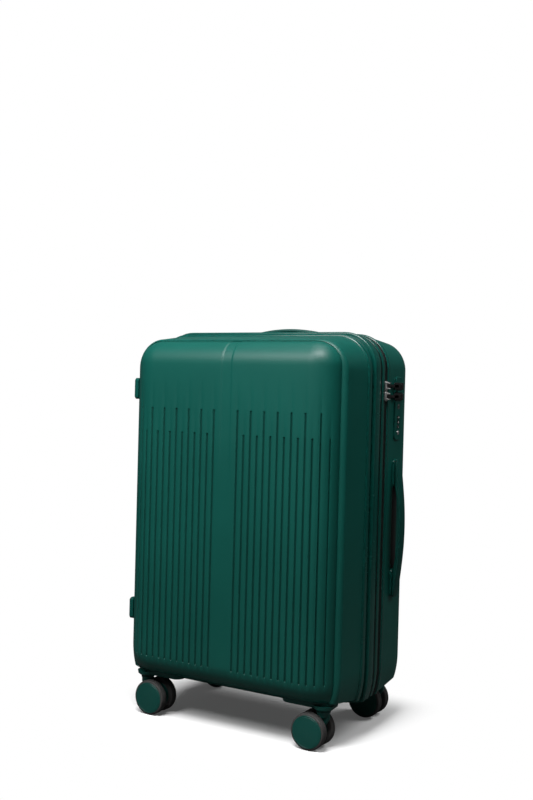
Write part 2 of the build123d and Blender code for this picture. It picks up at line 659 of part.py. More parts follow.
def carry_handle_form(arch_plane, half_length, rise, end, leg_at):
    """Arched grip between two legs that slide in the collars and end in stops inside the shell."""
    base = MOUNT_HEIGHT + BODY_GAP
    stop_top = -(2 * WALL + HANDLE_LIFT)
    with BuildPart() as handle:
        with BuildSketch(arch_plane):
            with BuildLine():
                ThreePointArc((-half_length, base + HANDLE_TIP), (0, rise), (half_length, base + HANDLE_TIP))
                Line((half_length, base + HANDLE_TIP), (half_length, base))
                Line((half_length, base), (half_length - end, base))
                ThreePointArc((half_length - end, base), (0, rise - HANDLE_THICK), (end - half_length, base))
                Line((end - half_length, base), (-half_length, base))
                Line((-half_length, base), (-half_length, base + HANDLE_TIP))
            make_face()
        extrude(amount=HANDLE_WIDTH / 2, both=True)
        grip_faces = handle.faces().filter_by(GeomType.CYLINDER)
        chamfer(grip_faces.edges().filter_by(GeomType.CIRCLE), HANDLE_EDGE_CHAMFER)
        with BuildSketch(arch_plane):
            with Locations((leg_at, (stop_top + base) / 2), (-leg_at, (stop_top + base) / 2)):
                Rectangle(HANDLE_LEG_L, base - stop_top + 2 * HANDLE_LEG_ROOT)
        extrude(amount=HANDLE_LEG_W / 2, both=True)
        with BuildSketch(arch_plane):
            with Locations((leg_at, stop_top - HANDLE_STOP_H / 2), (-leg_at, stop_top - HANDLE_STOP_H / 2)):
                Rectangle(HANDLE_STOP_L, HANDLE_STOP_H)
        extrude(amount=HANDLE_STOP_W / 2, both=True)
    return handle.part


with BuildPart() as top_handle_mounts:
    add(handle_mounts_form(top_seat_plane, TOP_LEG_AT))
keep(top_handle_mounts, "top_handle_mounts")

with BuildPart() as top_handle:
    add(carry_handle_form(top_arch_plane, TOP_HANDLE_HALF, TOP_HANDLE_RISE, TOP_HANDLE_END, TOP_LEG_AT))
keep(top_handle, "top_handle")

with BuildPart() as side_handle_mounts:
    add(handle_mounts_form(side_seat_plane, SIDE_LEG_AT))
keep(side_handle_mounts, "side_handle_mounts")

with BuildPart() as side_handle:
    add(carry_handle_form(side_arch_plane, SIDE_HANDLE_HALF, SIDE_HANDLE_RISE, SIDE_HANDLE_END, SIDE_LEG_AT))
keep(side_handle, "side_handle")

# Telescopic trolley: outer tubes fixed in the shell, middle and inner tubes that slide out of them
TUBE_SHRINK = 2 * (TUBE_WALL + BODY_GAP)
MIDDLE_TUBE_X = OUTER_TUBE_X - TUBE_SHRINK
MIDDLE_TUBE_Y = OUTER_TUBE_Y - TUBE_SHRINK
INNER_TUBE_X = MIDDLE_TUBE_X - TUBE_SHRINK
INNER_TUBE_Y = MIDDLE_TUBE_Y - TUBE_SHRINK
FOOT_FLOOR_Z = MID_Z - back_slope(TROLLEY_Y, BACK_TOP_RIM, BACK_TAPER_Z) + WALL
TROLLEY_FOOT_TOP_Z = FOOT_FLOOR_Z + TROLLEY_FOOT_HEIGHT
OUTER_TUBE_Z = TROLLEY_FOOT_TOP_Z - TROLLEY_FOOT_SOCKET
GRIP_Z = CUP_FLOOR_Z + GRIP_LIFT_OFF


def tube_pair_form(size_x, size_y, bottom_z, top_z):
    """Two upright tubes with rounded corners, one on each side."""
    with BuildPart() as tubes:
        with BuildSketch(Plane.XY.offset(bottom_z)):
            with Locations((-TROLLEY_HALF, TROLLEY_Y), (TROLLEY_HALF, TROLLEY_Y)):
                RectangleRounded(size_x, size_y, TUBE_CORNER_R)
                RectangleRounded(
                    size_x - 2 * TUBE_WALL,
                    size_y - 2 * TUBE_WALL,
                    TUBE_CORNER_R - TUBE_WALL,
                    mode=Mode.SUBTRACT,
                )
        extrude(amount=top_z - bottom_z)
    return tubes.part


with BuildPart() as trolley_foot:
    with BuildSketch(Plane.XY.offset(RIM_BOTTOM_Z)):
        with Locations((0, TROLLEY_Y)):
            RectangleRounded(TROLLEY_FOOT_LENGTH, OUTER_TUBE_Y + 2 * WALL, TUBE_CORNER_R)
    extrude(amount=TROLLEY_FOOT_TOP_Z - RIM_BOTTOM_Z)
    add(back_inner, mode=Mode.INTERSECT)
    with BuildSketch(Plane.XY.offset(OUTER_TUBE_Z)):
        with Locations((-TROLLEY_HALF, TROLLEY_Y), (TROLLEY_HALF, TROLLEY_Y)):
            RectangleRounded(OUTER_TUBE_X, OUTER_TUBE_Y, TUBE_CORNER_R)
    extrude(amount=TROLLEY_FOOT_SOCKET, mode=Mode.SUBTRACT)
keep(trolley_foot, "trolley_foot")

with BuildPart() as trolley_outer_tubes:
    add(tube_pair_form(OUTER_TUBE_X, OUTER_TUBE_Y, OUTER_TUBE_Z, CUP_FLOOR_Z - CUP_FLOOR))
keep(trolley_outer_tubes, "trolley_outer_tubes")

with BuildPart() as trolley_middle_tubes:
    add(tube_pair_form(MIDDLE_TUBE_X, MIDDLE_TUBE_Y, OUTER_TUBE_Z + TUBE_STEP, CUP_FLOOR_Z + GRIP_LIFT_OFF / 2))
keep(trolley_middle_tubes, "trolley_middle_tubes")

with BuildPart() as trolley_inner_tubes:
    add(tube_pair_form(INNER_TUBE_X, INNER_TUBE_Y, OUTER_TUBE_Z + 2 * TUBE_STEP, GRIP_Z + GRIP_SOCKET))
keep(trolley_inner_tubes, "trolley_inner_tubes")

# Trolley bezel: a cup let into the top wall with a lip on it, a recess for the grip and a finger scoop
with BuildPart() as bezel_lip:
    with BuildSketch(Plane.XY.offset(CUP_FLOOR_Z)):
        with Locations((0, BEZEL_MID_Y)):
            RectangleRounded(BEZEL_LENGTH + 2 * BEZEL_LIP, BEZEL_WIDTH + 2 * BEZEL_LIP, BEZEL_CORNER_R + BEZEL_LIP)
    extrude(amount=2 * CUP_DEPTH)
    add(back_outer, mode=Mode.SUBTRACT)

with BuildPart() as trolley_bezel:
    with BuildSketch(Plane.XY.offset(CUP_FLOOR_Z - CUP_FLOOR)):
        with Locations((0, BEZEL_MID_Y)):
            RectangleRounded(BEZEL_LENGTH, BEZEL_WIDTH, BEZEL_CORNER_R)
    extrude(amount=2 * CUP_DEPTH)
    add(bezel_lip.part)
    add(back_form(-BEZEL_PROUD), mode=Mode.INTERSECT)
    with BuildSketch(Plane.XY.offset(CUP_FLOOR_Z)):
        with Locations((0, TROLLEY_Y)):
            RectangleRounded(GRIP_LENGTH + 2 * GRIP_GAP, GRIP_WIDTH + 2 * GRIP_GAP, GRIP_CORNER_R + GRIP_GAP)
    extrude(amount=2 * CUP_DEPTH, mode=Mode.SUBTRACT)
    with BuildSketch(Plane.XY.offset(TROLLEY_TOP_Z - SCOOP_DEPTH)):
        with Locations((0, TROLLEY_Y - GRIP_WIDTH / 2 - GRIP_GAP)):
            SlotOverall(SCOOP_LENGTH, 2 * SCOOP_WIDTH)
    extrude(amount=2 * CUP_DEPTH, mode=Mode.SUBTRACT)
    with BuildSketch(Plane.XY.offset(CUP_FLOOR_Z - CUP_FLOOR)):
        with Locations((-TROLLEY_HALF, TROLLEY_Y), (TROLLEY_HALF, TROLLEY_Y)):
            RectangleRounded(MIDDLE_TUBE_X + 2 * BODY_GAP, MIDDLE_TUBE_Y + 2 * BODY_GAP, TUBE_CORNER_R)
    extrude(amount=2 * CUP_FLOOR, mode=Mode.SUBTRACT)
keep(trolley_bezel, "trolley_bezel")

# Trolley grip with sockets for the inner tubes and a pocket for the release button
RELEASE_Z = TROLLEY_TOP_Z + RELEASE_PROUD - RELEASE_HEIGHT
with BuildPart() as trolley_grip:
    with BuildSketch(Plane.XY.offset(GRIP_Z)):
        with Locations((0, TROLLEY_Y)):
            RectangleRounded(GRIP_LENGTH, GRIP_WIDTH, GRIP_CORNER_R)
    extrude(amount=2 * CUP_DEPTH)
    add(back_form(-GRIP_PROUD), mode=Mode.INTERSECT)
    with BuildSketch(Plane.XY.offset(GRIP_Z)):
        with Locations((-TROLLEY_HALF, TROLLEY_Y), (TROLLEY_HALF, TROLLEY_Y)):
            RectangleRounded(INNER_TUBE_X, INNER_TUBE_Y, TUBE_CORNER_R)
    extrude(amount=GRIP_SOCKET, mode=Mode.SUBTRACT)
    with BuildSketch(Plane.XY.offset(RELEASE_Z - RELEASE_TRAVEL - BODY_GAP)):
        with Locations((0, TROLLEY_Y)):
            SlotOverall(RELEASE_LENGTH + 2 * BODY_GAP, RELEASE_WIDTH + 2 * BODY_GAP)
    extrude(amount=CUP_DEPTH, mode=Mode.SUBTRACT)
keep(trolley_grip, "trolley_grip")

with BuildPart() as trolley_button:
    with BuildSketch(Plane.XY.offset(RELEASE_Z)):
        with Locations((0, TROLLEY_Y)):
            SlotOverall(RELEASE_LENGTH, RELEASE_WIDTH)
    extrude(amount=CUP_DEPTH)
    add(back_form(-RELEASE_PROUD), mode=Mode.INTERSECT)
keep(trolley_button, "trolley_button")

# Lock housing: dial windows round a shaft, a key bore, a button bore, and two docks with a rib between
ZIP_FACE_X = HALF_W - ZIP_STEP
SLIDER_X = ZIP_FACE_X + BODY_GAP
TAB_X = SLIDER_X + SLIDER_BASE + BODY_GAP
TAB_PIN_X = TAB_X + TAB_EYE_R
DIAL_AXIS_X = LOCK_FACE_X + DIAL_PROUD - DIAL_R
LOCK_BUTTON_X = LOCK_FACE_X + LOCK_BUTTON_PROUD - LOCK_BUTTON_HEIGHT
DIAL_HEIGHTS = [LOCK_Z - DIAL_TOP_BELOW - DIAL_PITCH * index for index in range(DIAL_COUNT)]
DIAL_WINDOW = DIAL_WIDTH + 2 * DIAL_CLEARANCE
TAB_HEIGHTS = {"upper": DOCK_Z + SLIDER_SPREAD / 2, "lower": DOCK_Z - SLIDER_SPREAD / 2}
with BuildPart() as lock_housing:
    with BuildSketch(Plane.YZ.offset(LOCK_FACE_X - LOCK_DEPTH)):
        with Locations((LOCK_Y, LOCK_Z)):
            RectangleRounded(LOCK_WIDTH, LOCK_LENGTH, LOCK_CORNER_R)
    extrude(amount=LOCK_DEPTH)
    chamfer(lock_housing.faces().sort_by(Axis.X)[-1].edges(), LOCK_FACE_BEVEL)
    with BuildSketch(Plane.YZ.offset(LOCK_FACE_X - LOCK_FACE_BEVEL)):
        for tab_z in TAB_HEIGHTS.values():
            with Locations((LOCK_Y, tab_z)):
                RectangleRounded(LOCK_WIDTH - 2 * LOCK_FACE_BEVEL, TAB_WIDTH, TAB_CORNER_R)
    extrude(amount=TAB_X - BODY_GAP - LOCK_FACE_X + LOCK_FACE_BEVEL)
    with BuildSketch(Plane.YZ.offset(LOCK_FACE_X - LOCK_FACE_BEVEL)):
        with Locations((LOCK_Y, DOCK_Z)):
            RectangleRounded(LOCK_WIDTH - 2 * LOCK_FACE_BEVEL, DOCK_RIB_W, DOCK_RIB_W / 3)
    extrude(amount=TAB_X + TAB_THICK - LOCK_FACE_X + LOCK_FACE_BEVEL)
    for dial_z in DIAL_HEIGHTS:
        with BuildSketch(Plane.XY.offset(dial_z - DIAL_WINDOW / 2)):
            with Locations((DIAL_AXIS_X, LOCK_Y)):
                Circle(DIAL_R + DIAL_CLEARANCE)
        extrude(amount=DIAL_WINDOW, mode=Mode.SUBTRACT)
    with BuildSketch(Plane.XY.offset(DIAL_HEIGHTS[-1] - DIAL_WINDOW)):
        with Locations((DIAL_AXIS_X, LOCK_Y)):
            Circle(DIAL_SHAFT_R)
    extrude(amount=DIAL_HEIGHTS[0] - DIAL_HEIGHTS[-1] + 2 * DIAL_WINDOW)
    with BuildSketch(Plane.YZ.offset(LOCK_FACE_X - KEY_DEPTH)):
        with Locations((LOCK_Y, KEY_Z)):
            Circle(KEY_R + RUNNING_GAP)
    extrude(amount=KEY_DEPTH, mode=Mode.SUBTRACT)
    with BuildSketch(Plane.YZ.offset(LOCK_BUTTON_X - LOCK_BUTTON_TRAVEL - BODY_GAP)):
        with Locations((LOCK_Y, LOCK_BUTTON_Z)):
            Circle(LOCK_BUTTON_R + RUNNING_GAP)
    extrude(amount=LOCK_BUTTON_HEIGHT + LOCK_BUTTON_TRAVEL, mode=Mode.SUBTRACT)
keep(lock_housing, "lock_housing")

for index, dial_z in enumerate(DIAL_HEIGHTS, start=1):
    with BuildPart() as lock_dial:
        with BuildSketch(Plane.XY.offset(dial_z - DIAL_WIDTH / 2)):
            with Locations((DIAL_AXIS_X, LOCK_Y)):
                RegularPolygon(DIAL_R, DIAL_FACES)
                Circle(DIAL_SHAFT_R + RUNNING_GAP, mode=Mode.SUBTRACT)
        extrude(amount=DIAL_WIDTH)
    keep(lock_dial, f"lock_dial_{index}")

with BuildPart() as key_cylinder:
    with BuildSketch(Plane.YZ.offset(LOCK_FACE_X - KEY_DEPTH + BODY_GAP)):
        with Locations((LOCK_Y, KEY_Z)):
            Circle(KEY_R)
    extrude(amount=KEY_DEPTH)
    with BuildSketch(Plane.YZ.offset(LOCK_FACE_X + BODY_GAP)):
        with Locations((LOCK_Y, KEY_Z)):
            SlotOverall(KEYWAY_LENGTH, KEYWAY_WIDTH)
    extrude(amount=-KEYWAY_DEPTH, mode=Mode.SUBTRACT)
keep(key_cylinder, "key_cylinder")

with BuildPart() as lock_button:
    with BuildSketch(Plane.YZ.offset(LOCK_BUTTON_X)):
        with Locations((LOCK_Y, LOCK_BUTTON_Z)):
            Circle(LOCK_BUTTON_R)
    extrude(amount=LOCK_BUTTON_HEIGHT)
keep(lock_button, "lock_button")

# Zip sliders: a base on the zip, and two ears with a pin between them that carries the pull tab
SLIDER_MID_Y = MAIN_PARTING_Y
EAR_AT = TAB_EYE_W / 2 + BODY_GAP + SLIDER_EAR_W / 2
for place, tab_z in TAB_HEIGHTS.items():
    with BuildPart() as zip_slider:
        with BuildSketch(Plane.YZ.offset(SLIDER_X)):
            with Locations((SLIDER_MID_Y, tab_z)):
                RectangleRounded(SLIDER_WIDTH, SLIDER_LENGTH, SLIDER_WIDTH / 3)
        extrude(amount=SLIDER_BASE)
        with BuildSketch(Plane.YZ.offset(SLIDER_X)):
            with Locations((SLIDER_MID_Y, tab_z - EAR_AT), (SLIDER_MID_Y, tab_z + EAR_AT)):
                Rectangle(SLIDER_EAR_DEPTH, SLIDER_EAR_W)
        extrude(amount=TAB_PIN_X + TAB_EYE_R - SLIDER_X)
        with BuildSketch(Plane.XY.offset(tab_z - EAR_AT)):
            with Locations((TAB_PIN_X, SLIDER_MID_Y)):
                Circle(SLIDER_PIN_R)
        extrude(amount=2 * EAR_AT)
    keep(zip_slider, f"zip_slider_{place}")

    tab_end_y = LOCK_Y + LOCK_WIDTH / 2 - LOCK_FACE_BEVEL
    with BuildPart() as pull_tab:
        with BuildSketch(Plane.YZ.offset(TAB_X)):
            with Locations((tab_end_y - TAB_BLADE / 2, tab_z)):
                RectangleRounded(TAB_BLADE, TAB_WIDTH, TAB_CORNER_R)
            with Locations(((SLIDER_MID_Y + tab_end_y - TAB_BLADE / 2) / 2, tab_z)):
                Rectangle(tab_end_y - TAB_BLADE / 2 - SLIDER_MID_Y, TAB_NECK_W)
        extrude(amount=TAB_THICK)
        with BuildSketch(Plane.XY.offset(tab_z - TAB_EYE_W / 2)):
            with Locations((TAB_PIN_X, SLIDER_MID_Y)):
                Circle(TAB_EYE_R)
        extrude(amount=TAB_EYE_W)
        with BuildSketch(Plane.XY.offset(tab_z - TAB_EYE_W / 2)):
            with Locations((TAB_PIN_X, SLIDER_MID_Y)):
                Circle(SLIDER_PIN_R + 2 * RUNNING_GAP)
        extrude(amount=TAB_EYE_W, mode=Mode.SUBTRACT)
    keep(pull_tab, f"pull_tab_{place}")

# Linings: open boxes of cloth with a flange that reaches the rings, one in each half
LINING_BOTTOM_Z = RIM_BOTTOM_Z + LINING_FLOOR_ROOM
LINING_TOP_Z = RIM_TOP_Z - LINING_TOP_ROOM
LINING_HALF_W = HALF_W - LINING_SIDE_ROOM
LINING_MID = (LINING_BOTTOM_Z + LINING_TOP_Z) / 2 - MID_Z
BACK_LINING_Y = TROLLEY_Y - OUTER_TUBE_Y / 2 - TROLLEY_COVER_GAP
FRONT_LINING_Y = FRONT_Y + WALL + FRONT_LINING_GAP


def lining_box_form(mouth_y, floor_y, bevel, inset):
    """Solid box from the mouth to the floor of a lining, with a bevelled floor edge; inset shrinks it."""
    facing = 1 if floor_y > mouth_y else -1
    with BuildPart() as box:
        with BuildSketch(upright(floor_y - facing * inset)):
            with Locations((0, LINING_MID)):
                RectangleRounded(
                    2 * (LINING_HALF_W - inset),
                    LINING_TOP_Z - LINING_BOTTOM_Z - 2 * inset,
                    LINING_CORNER_R - inset,
                )
        extrude(amount=floor_y - mouth_y)
        chamfer(box.faces().sort_by(Axis.Y)[-1 if facing > 0 else 0].edges(), bevel - inset)
    return box.part


def lining_form(mouth_y, floor_y, bevel):
    """Open cloth box from its mouth to its floor, with a flange round the mouth."""
    facing = 1 if floor_y > mouth_y else -1
    with BuildPart() as lining:
        add(lining_box_form(mouth_y, floor_y, bevel, 0))
        with BuildSketch(upright(mouth_y)):
            RectangleRounded(2 * (HALF_W - GUSSET_STEP), 2 * (HALF_H - GUSSET_STEP), RIM_CORNER_R - GUSSET_STEP)
        extrude(amount=-facing * LINING_WALL)
        add(lining_box_form(mouth_y, floor_y, bevel, LINING_WALL), mode=Mode.SUBTRACT)
    return lining.part


with BuildPart() as back_lining:
    add(lining_form(BACK_TRIM_Y + LINING_WALL, BACK_LINING_Y, LINING_CHAMFER))
keep(back_lining, "back_lining")

with BuildPart() as front_lining:
    add(lining_form(EXPANSION_FRONT_Y - 2 * LINING_WALL, FRONT_LINING_Y, FRONT_LINING_CHAMFER))
keep(front_lining, "front_lining")

# Packing straps crossed on the floor of the back lining, with their buckle
STRAP_Y = BACK_LINING_Y - LINING_WALL - SEAT_GAP
with BuildPart() as packing_straps:
    for layer, angle in enumerate((STRAP_ANGLE, -STRAP_ANGLE)):
        with BuildSketch(upright(STRAP_Y - layer * (STRAP_WALL + SEAT_GAP))):
            with Locations((0, LINING_MID)):
                Rectangle(STRAP_LENGTH, STRAP_WIDTH, rotation=angle)
        extrude(amount=STRAP_WALL)
keep(packing_straps, "packing_straps")

with BuildPart() as strap_buckle:
    with BuildSketch(upright(STRAP_Y - 2 * (STRAP_WALL + SEAT_GAP))):
        with Locations((0, LINING_MID)):
            RectangleRounded(BUCKLE_WIDTH, BUCKLE_LENGTH, BUCKLE_HEIGHT)
    extrude(amount=BUCKLE_HEIGHT)
    chamfer(strap_buckle.faces().sort_by(Axis.Y)[0].edges(), BUCKLE_HEIGHT / 4)
keep(strap_buckle, "strap_buckle")

# Flat mesh pocket on the floor of the front lining
with BuildPart() as mesh_pocket:
    with BuildSketch(upright(FRONT_LINING_Y + LINING_WALL + SEAT_GAP)):
        with Locations((0, LINING_MID)):
            Rectangle(POCKET_WIDTH, POCKET_HEIGHT)
    extrude(amount=-POCKET_WALL)
keep(mesh_pocket, "mesh_pocket")
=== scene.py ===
# %% [markdown]
# # A hard shell suitcase on wheels
#
# The suitcase has two moulded shells with grooved, domed panels, a stack of beads and zips between them,
# a lock, two carry handles, a pull-out trolley and four twin casters. The frame from the CAD model gives
# every place. Each visible piece is then a surface worked out with numpy: a profile carried along a path,
# or a grid bent into shape. Lengths in this file are millimetres, and one value turns them into metres.

import math

import bpy
import numpy as np
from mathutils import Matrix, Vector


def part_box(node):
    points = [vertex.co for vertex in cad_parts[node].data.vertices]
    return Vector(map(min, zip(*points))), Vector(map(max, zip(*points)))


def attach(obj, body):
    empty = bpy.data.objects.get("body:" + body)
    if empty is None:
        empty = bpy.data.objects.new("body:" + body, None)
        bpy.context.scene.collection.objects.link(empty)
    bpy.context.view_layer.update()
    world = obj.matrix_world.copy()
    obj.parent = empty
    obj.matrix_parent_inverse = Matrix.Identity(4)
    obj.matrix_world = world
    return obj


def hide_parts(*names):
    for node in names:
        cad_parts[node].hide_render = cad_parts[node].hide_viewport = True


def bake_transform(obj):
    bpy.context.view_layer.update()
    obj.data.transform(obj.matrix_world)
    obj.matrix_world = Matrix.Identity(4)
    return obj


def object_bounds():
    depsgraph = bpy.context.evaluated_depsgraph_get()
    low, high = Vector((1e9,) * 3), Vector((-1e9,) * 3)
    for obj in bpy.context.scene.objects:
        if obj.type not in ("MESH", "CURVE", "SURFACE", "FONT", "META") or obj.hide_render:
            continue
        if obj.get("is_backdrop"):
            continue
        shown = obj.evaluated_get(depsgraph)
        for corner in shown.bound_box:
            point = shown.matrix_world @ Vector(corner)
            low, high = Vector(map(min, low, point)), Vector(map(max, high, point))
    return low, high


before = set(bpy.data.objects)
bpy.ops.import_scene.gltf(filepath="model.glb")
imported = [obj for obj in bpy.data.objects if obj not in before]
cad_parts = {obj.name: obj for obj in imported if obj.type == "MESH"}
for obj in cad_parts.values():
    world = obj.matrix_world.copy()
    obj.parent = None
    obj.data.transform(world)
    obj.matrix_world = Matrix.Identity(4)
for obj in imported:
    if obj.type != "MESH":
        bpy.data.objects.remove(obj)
cad_low, cad_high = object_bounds()
UNIT = 0.001
X, Y, Z = np.eye(3)


def span(node):
    """Lowest and highest corner of a CAD node at rest, in millimetres."""
    low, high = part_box(node)
    return np.array(low) / UNIT, np.array(high) / UNIT


print("CAD box", [round(v, 4) for v in cad_low], [round(v, 4) for v in cad_high])

# %% [markdown]
# ## Camera
#
# The camera could be turned by eye until the edges agree. Here its place and its three turns come from a fit
# to the rows of groove ends, so the picture's perspective is the photograph's, and the matrix is built from
# the three directions: right, up and backwards.

# %% Camera
CAMERA_PLACE = np.array([937.9, -1577.5, 569.5])
CAMERA_YAW, CAMERA_PITCH, CAMERA_ROLL = 0.5401, -0.0111, 0.0261
FOCAL_PIXELS, PICTURE_HEIGHT, SENSOR = 1050.0, 800.0, 36.0


def camera_matrix(place, yaw, pitch, roll):
    """Columns right, up, backwards: yaw turns about Z, pitch lifts the view and roll turns the picture."""
    forward = np.array([-math.sin(yaw) * math.cos(pitch), math.cos(yaw) * math.cos(pitch), math.sin(pitch)])
    level = np.array([math.cos(yaw), math.sin(yaw), 0.0])
    above = np.cross(level, forward)
    right = math.cos(roll) * level + math.sin(roll) * above
    up = math.cos(roll) * above - math.sin(roll) * level
    matrix = np.eye(4)
    matrix[:3] = np.stack([right, up, -forward, place * UNIT], axis=1)
    return matrix


camera_data = bpy.data.cameras.new("camera")
camera_data.sensor_width = SENSOR
camera_data.lens = FOCAL_PIXELS / PICTURE_HEIGHT * SENSOR
camera = bpy.data.objects.new("camera", camera_data)
bpy.context.scene.collection.objects.link(camera)
camera.matrix_world = camera_matrix(CAMERA_PLACE, CAMERA_YAW, CAMERA_PITCH, CAMERA_ROLL).T.tolist()
bpy.context.scene.camera = camera
bpy.context.scene.view_settings.view_transform = "Standard"
print("lens", camera_data.lens)

# %% [markdown]
# ## Points, faces and pieces
#
# Blender can build a mesh with operators, one face at a time. A whole array is quicker and easier to check:
# a shape here is a pair of a point array and a list of face arrays, and one function turns the pair into an
# object. It measures the signed volume first, so that every closed piece has its faces pointing outwards.

# %% Mesh helpers
SMOOTH_ANGLE = math.radians(32)


def grid_faces(rows, columns, close_rows=False, close_columns=False):
    """Quads between neighbours of a rows x columns grid; closing joins the last line to the first."""
    row, column = np.meshgrid(
        np.arange(rows - (not close_rows)), np.arange(columns - (not close_columns)), indexing="ij"
    )
    next_row, next_column = (row + 1) % rows, (column + 1) % columns
    corners = (row * columns + column, row * columns + next_column,
               next_row * columns + next_column, next_row * columns + column)
    return np.stack(corners, axis=-1).reshape(-1, 4)


def tube(rings):
    """Shape of a stack of closed rings (rows x points x 3), with a flat cap on both ends."""
    rows, columns = rings.shape[:2]
    caps = [np.arange(columns)[None, ::-1], np.arange(columns)[None] + (rows - 1) * columns]
    return rings.reshape(-1, 3), [grid_faces(rows, columns, close_columns=True)] + caps


def hoop(rings):
    """Shape of a stack of closed rings that also closes on itself, as a bead round the case does."""
    return rings.reshape(-1, 3), [grid_faces(*rings.shape[:2], close_rows=True, close_columns=True)]


def merged(*shapes):
    """Several shapes as one: points end to end, faces counted on."""
    starts = np.cumsum([0] + [len(points) for points, _ in shapes])
    faces = [face + start for (_, faces), start in zip(shapes, starts) for face in faces]
    return np.concatenate([points for points, _ in shapes]), faces


def outwards(points, faces):
    """Faces turned so that the signed volume, a sum of p0 . (p1 x p2) / 6 over fan triangles, is positive."""
    volume = 0.0
    for face in faces:
        for corner in range(1, face.shape[1] - 1):
            a, b, c = points[face[:, 0]], points[face[:, corner]], points[face[:, corner + 1]]
            volume += np.einsum("ij,ij->", a, np.cross(b, c)) / 6
    return faces if volume > 0 else [face[:, ::-1] for face in faces]


def make_mesh(name, shapes):
    """Smooth mesh in metres from a list of closed shapes in millimetres, with sharp edges kept sharp."""
    points, faces = merged(*[(points, outwards(points, faces)) for points, faces in shapes])
    sizes = np.concatenate([np.full(len(face), face.shape[1]) for face in faces])
    loops = np.concatenate([face.ravel() for face in faces])
    mesh = bpy.data.meshes.new(name)
    mesh.vertices.add(len(points))
    mesh.vertices.foreach_set("co", (points * UNIT).astype(np.float32).ravel())
    mesh.loops.add(len(loops))
    mesh.loops.foreach_set("vertex_index", loops.astype(np.int32))
    mesh.polygons.add(len(sizes))
    mesh.polygons.foreach_set("loop_start", np.concatenate([[0], np.cumsum(sizes)[:-1]]).astype(np.int32))
    mesh.update(calc_edges=True)
    mesh.polygons.foreach_set("use_smooth", np.ones(len(sizes), dtype=bool))
    mesh.set_sharp_from_angle(angle=SMOOTH_ANGLE)
    return mesh


def cut_mesh(mesh, cutters):
    """Copy of a mesh with closed shapes cut out of it: one exact boolean, then read back as plain faces."""
    body = bpy.data.objects.new("to_cut", mesh)
    tool = bpy.data.objects.new("cutter", make_mesh("cutter", cutters))
    bpy.context.scene.collection.objects.link(body)
    bpy.context.scene.collection.objects.link(tool)
    cut = body.modifiers.new("cut", "BOOLEAN")
    cut.operation, cut.solver, cut.object = "DIFFERENCE", "EXACT", tool
    result = bpy.data.meshes.new_from_object(body.evaluated_get(bpy.context.evaluated_depsgraph_get()))
    bpy.data.objects.remove(body)
    bpy.data.objects.remove(tool)
    result.set_sharp_from_angle(angle=SMOOTH_ANGLE)
    return result


def make_piece(name, shapes, body, material, replaces=(), cutters=(), recess=None):
    """One object from closed shapes, with its body, finish and the CAD nodes that it stands for."""
    mesh = make_mesh(name, shapes)
    if recess is not None:
        mesh.attributes.new("recess", "FLOAT", "POINT").data.foreach_set("value", recess.astype(np.float32))
    if cutters:
        mesh = cut_mesh(mesh, cutters)
    mesh.materials.clear()
    mesh.materials.append(material)
    piece = bpy.data.objects.new(name, mesh)
    bpy.context.scene.collection.objects.link(piece)
    if body:
        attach(piece, body)
    if replaces:
        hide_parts(*replaces)
    print(name, len(mesh.vertices), "points", len(mesh.polygons), "faces")
    return piece


# %% [markdown]
# Most fittings of a suitcase are rounded rectangles drawn at several heights, or profiles spun about an
# axle. Bevelled cubes would do for the first, but an outline that is stacked ring on ring also gives lips,
# cups and pockets from the same few lines.

# %% Outlines, stacks and spun profiles
LEAST_CORNER = 0.2
UP_AXES, RIGHT_AXES, BACK_AXES = (X, Y, Z), (Y, Z, X), (X, Z, Y)


def corner_curve(steps, roundness):
    """Quarter outline from (1, 0) to (0, 1): a circle, mixed with the square as roundness falls from 1."""
    t = np.linspace(0, 1, steps // 2 + 1)
    circle = np.stack([np.sqrt(1 - t * t / 2), t * math.sqrt(0.5)], axis=-1)
    square = np.stack([np.ones_like(t), t], axis=-1)
    first = roundness * circle + (1 - roundness) * square
    return np.concatenate([first, first[-2::-1, ::-1]])


def rounded(half, corner, steps=6, along=0, low=1.0):
    """Rounded rectangle: corner centre + corner x curve; low is the roundness of the two lower corners."""
    sign = np.array([[1, 1], [-1, 1], [-1, -1], [1, -1]])
    centre = sign * (np.asarray(half, float) - corner)
    curves = [corner_curve(steps, share) for share in (1.0, 1.0, low, low)]
    turned = np.stack([curve[::step] for curve, step in zip(curves, (1, -1, 1, -1))]) * sign[:, None]
    arcs = centre[:, None] + np.asarray(corner, float) * turned
    share = np.linspace(0, 1, along + 2)[1:-1, None]
    ends, starts = arcs[:, -1:], np.roll(arcs[:, :1], -1, axis=0)
    sides = ends + share * (starts - ends)
    return np.concatenate([arcs, sides], axis=1).reshape(-1, 2)


def stack(layers, place, axes):
    """Rings from (outline, height) layers: place + u axis_u + v axis_v + height axis_w."""
    axes, place = np.array(axes, float), np.asarray(place, float)
    return np.stack([place + outline @ axes[:2] + height * axes[2] for outline, height in layers])


def upper_roll(roll, height, steps=5):
    """(inset, height) pairs of an upper edge: inset roll (1 - cos t) at height - roll (1 - sin t)."""
    turn = np.linspace(0, math.pi / 2, steps)
    return list(zip(roll * (1 - np.cos(turn)), height - roll * (1 - np.sin(turn))))


def lower_roll(roll, base, steps=5):
    """(inset, height) pairs of a lower edge: inset roll (1 - sin t) at base + roll (1 - cos t)."""
    turn = np.linspace(0, math.pi / 2, steps)
    return list(zip(roll * (1 - np.sin(turn)), base + roll * (1 - np.cos(turn))))


def inset_layers(half, corner, pairs, steps=6, along=0):
    """Layers of one rounded rectangle, drawn smaller by the inset of each (inset, height) pair."""
    half = np.asarray(half, float)
    return [(rounded(half - inset, max(corner - inset, LEAST_CORNER), steps, along), height)
            for inset, height in pairs]


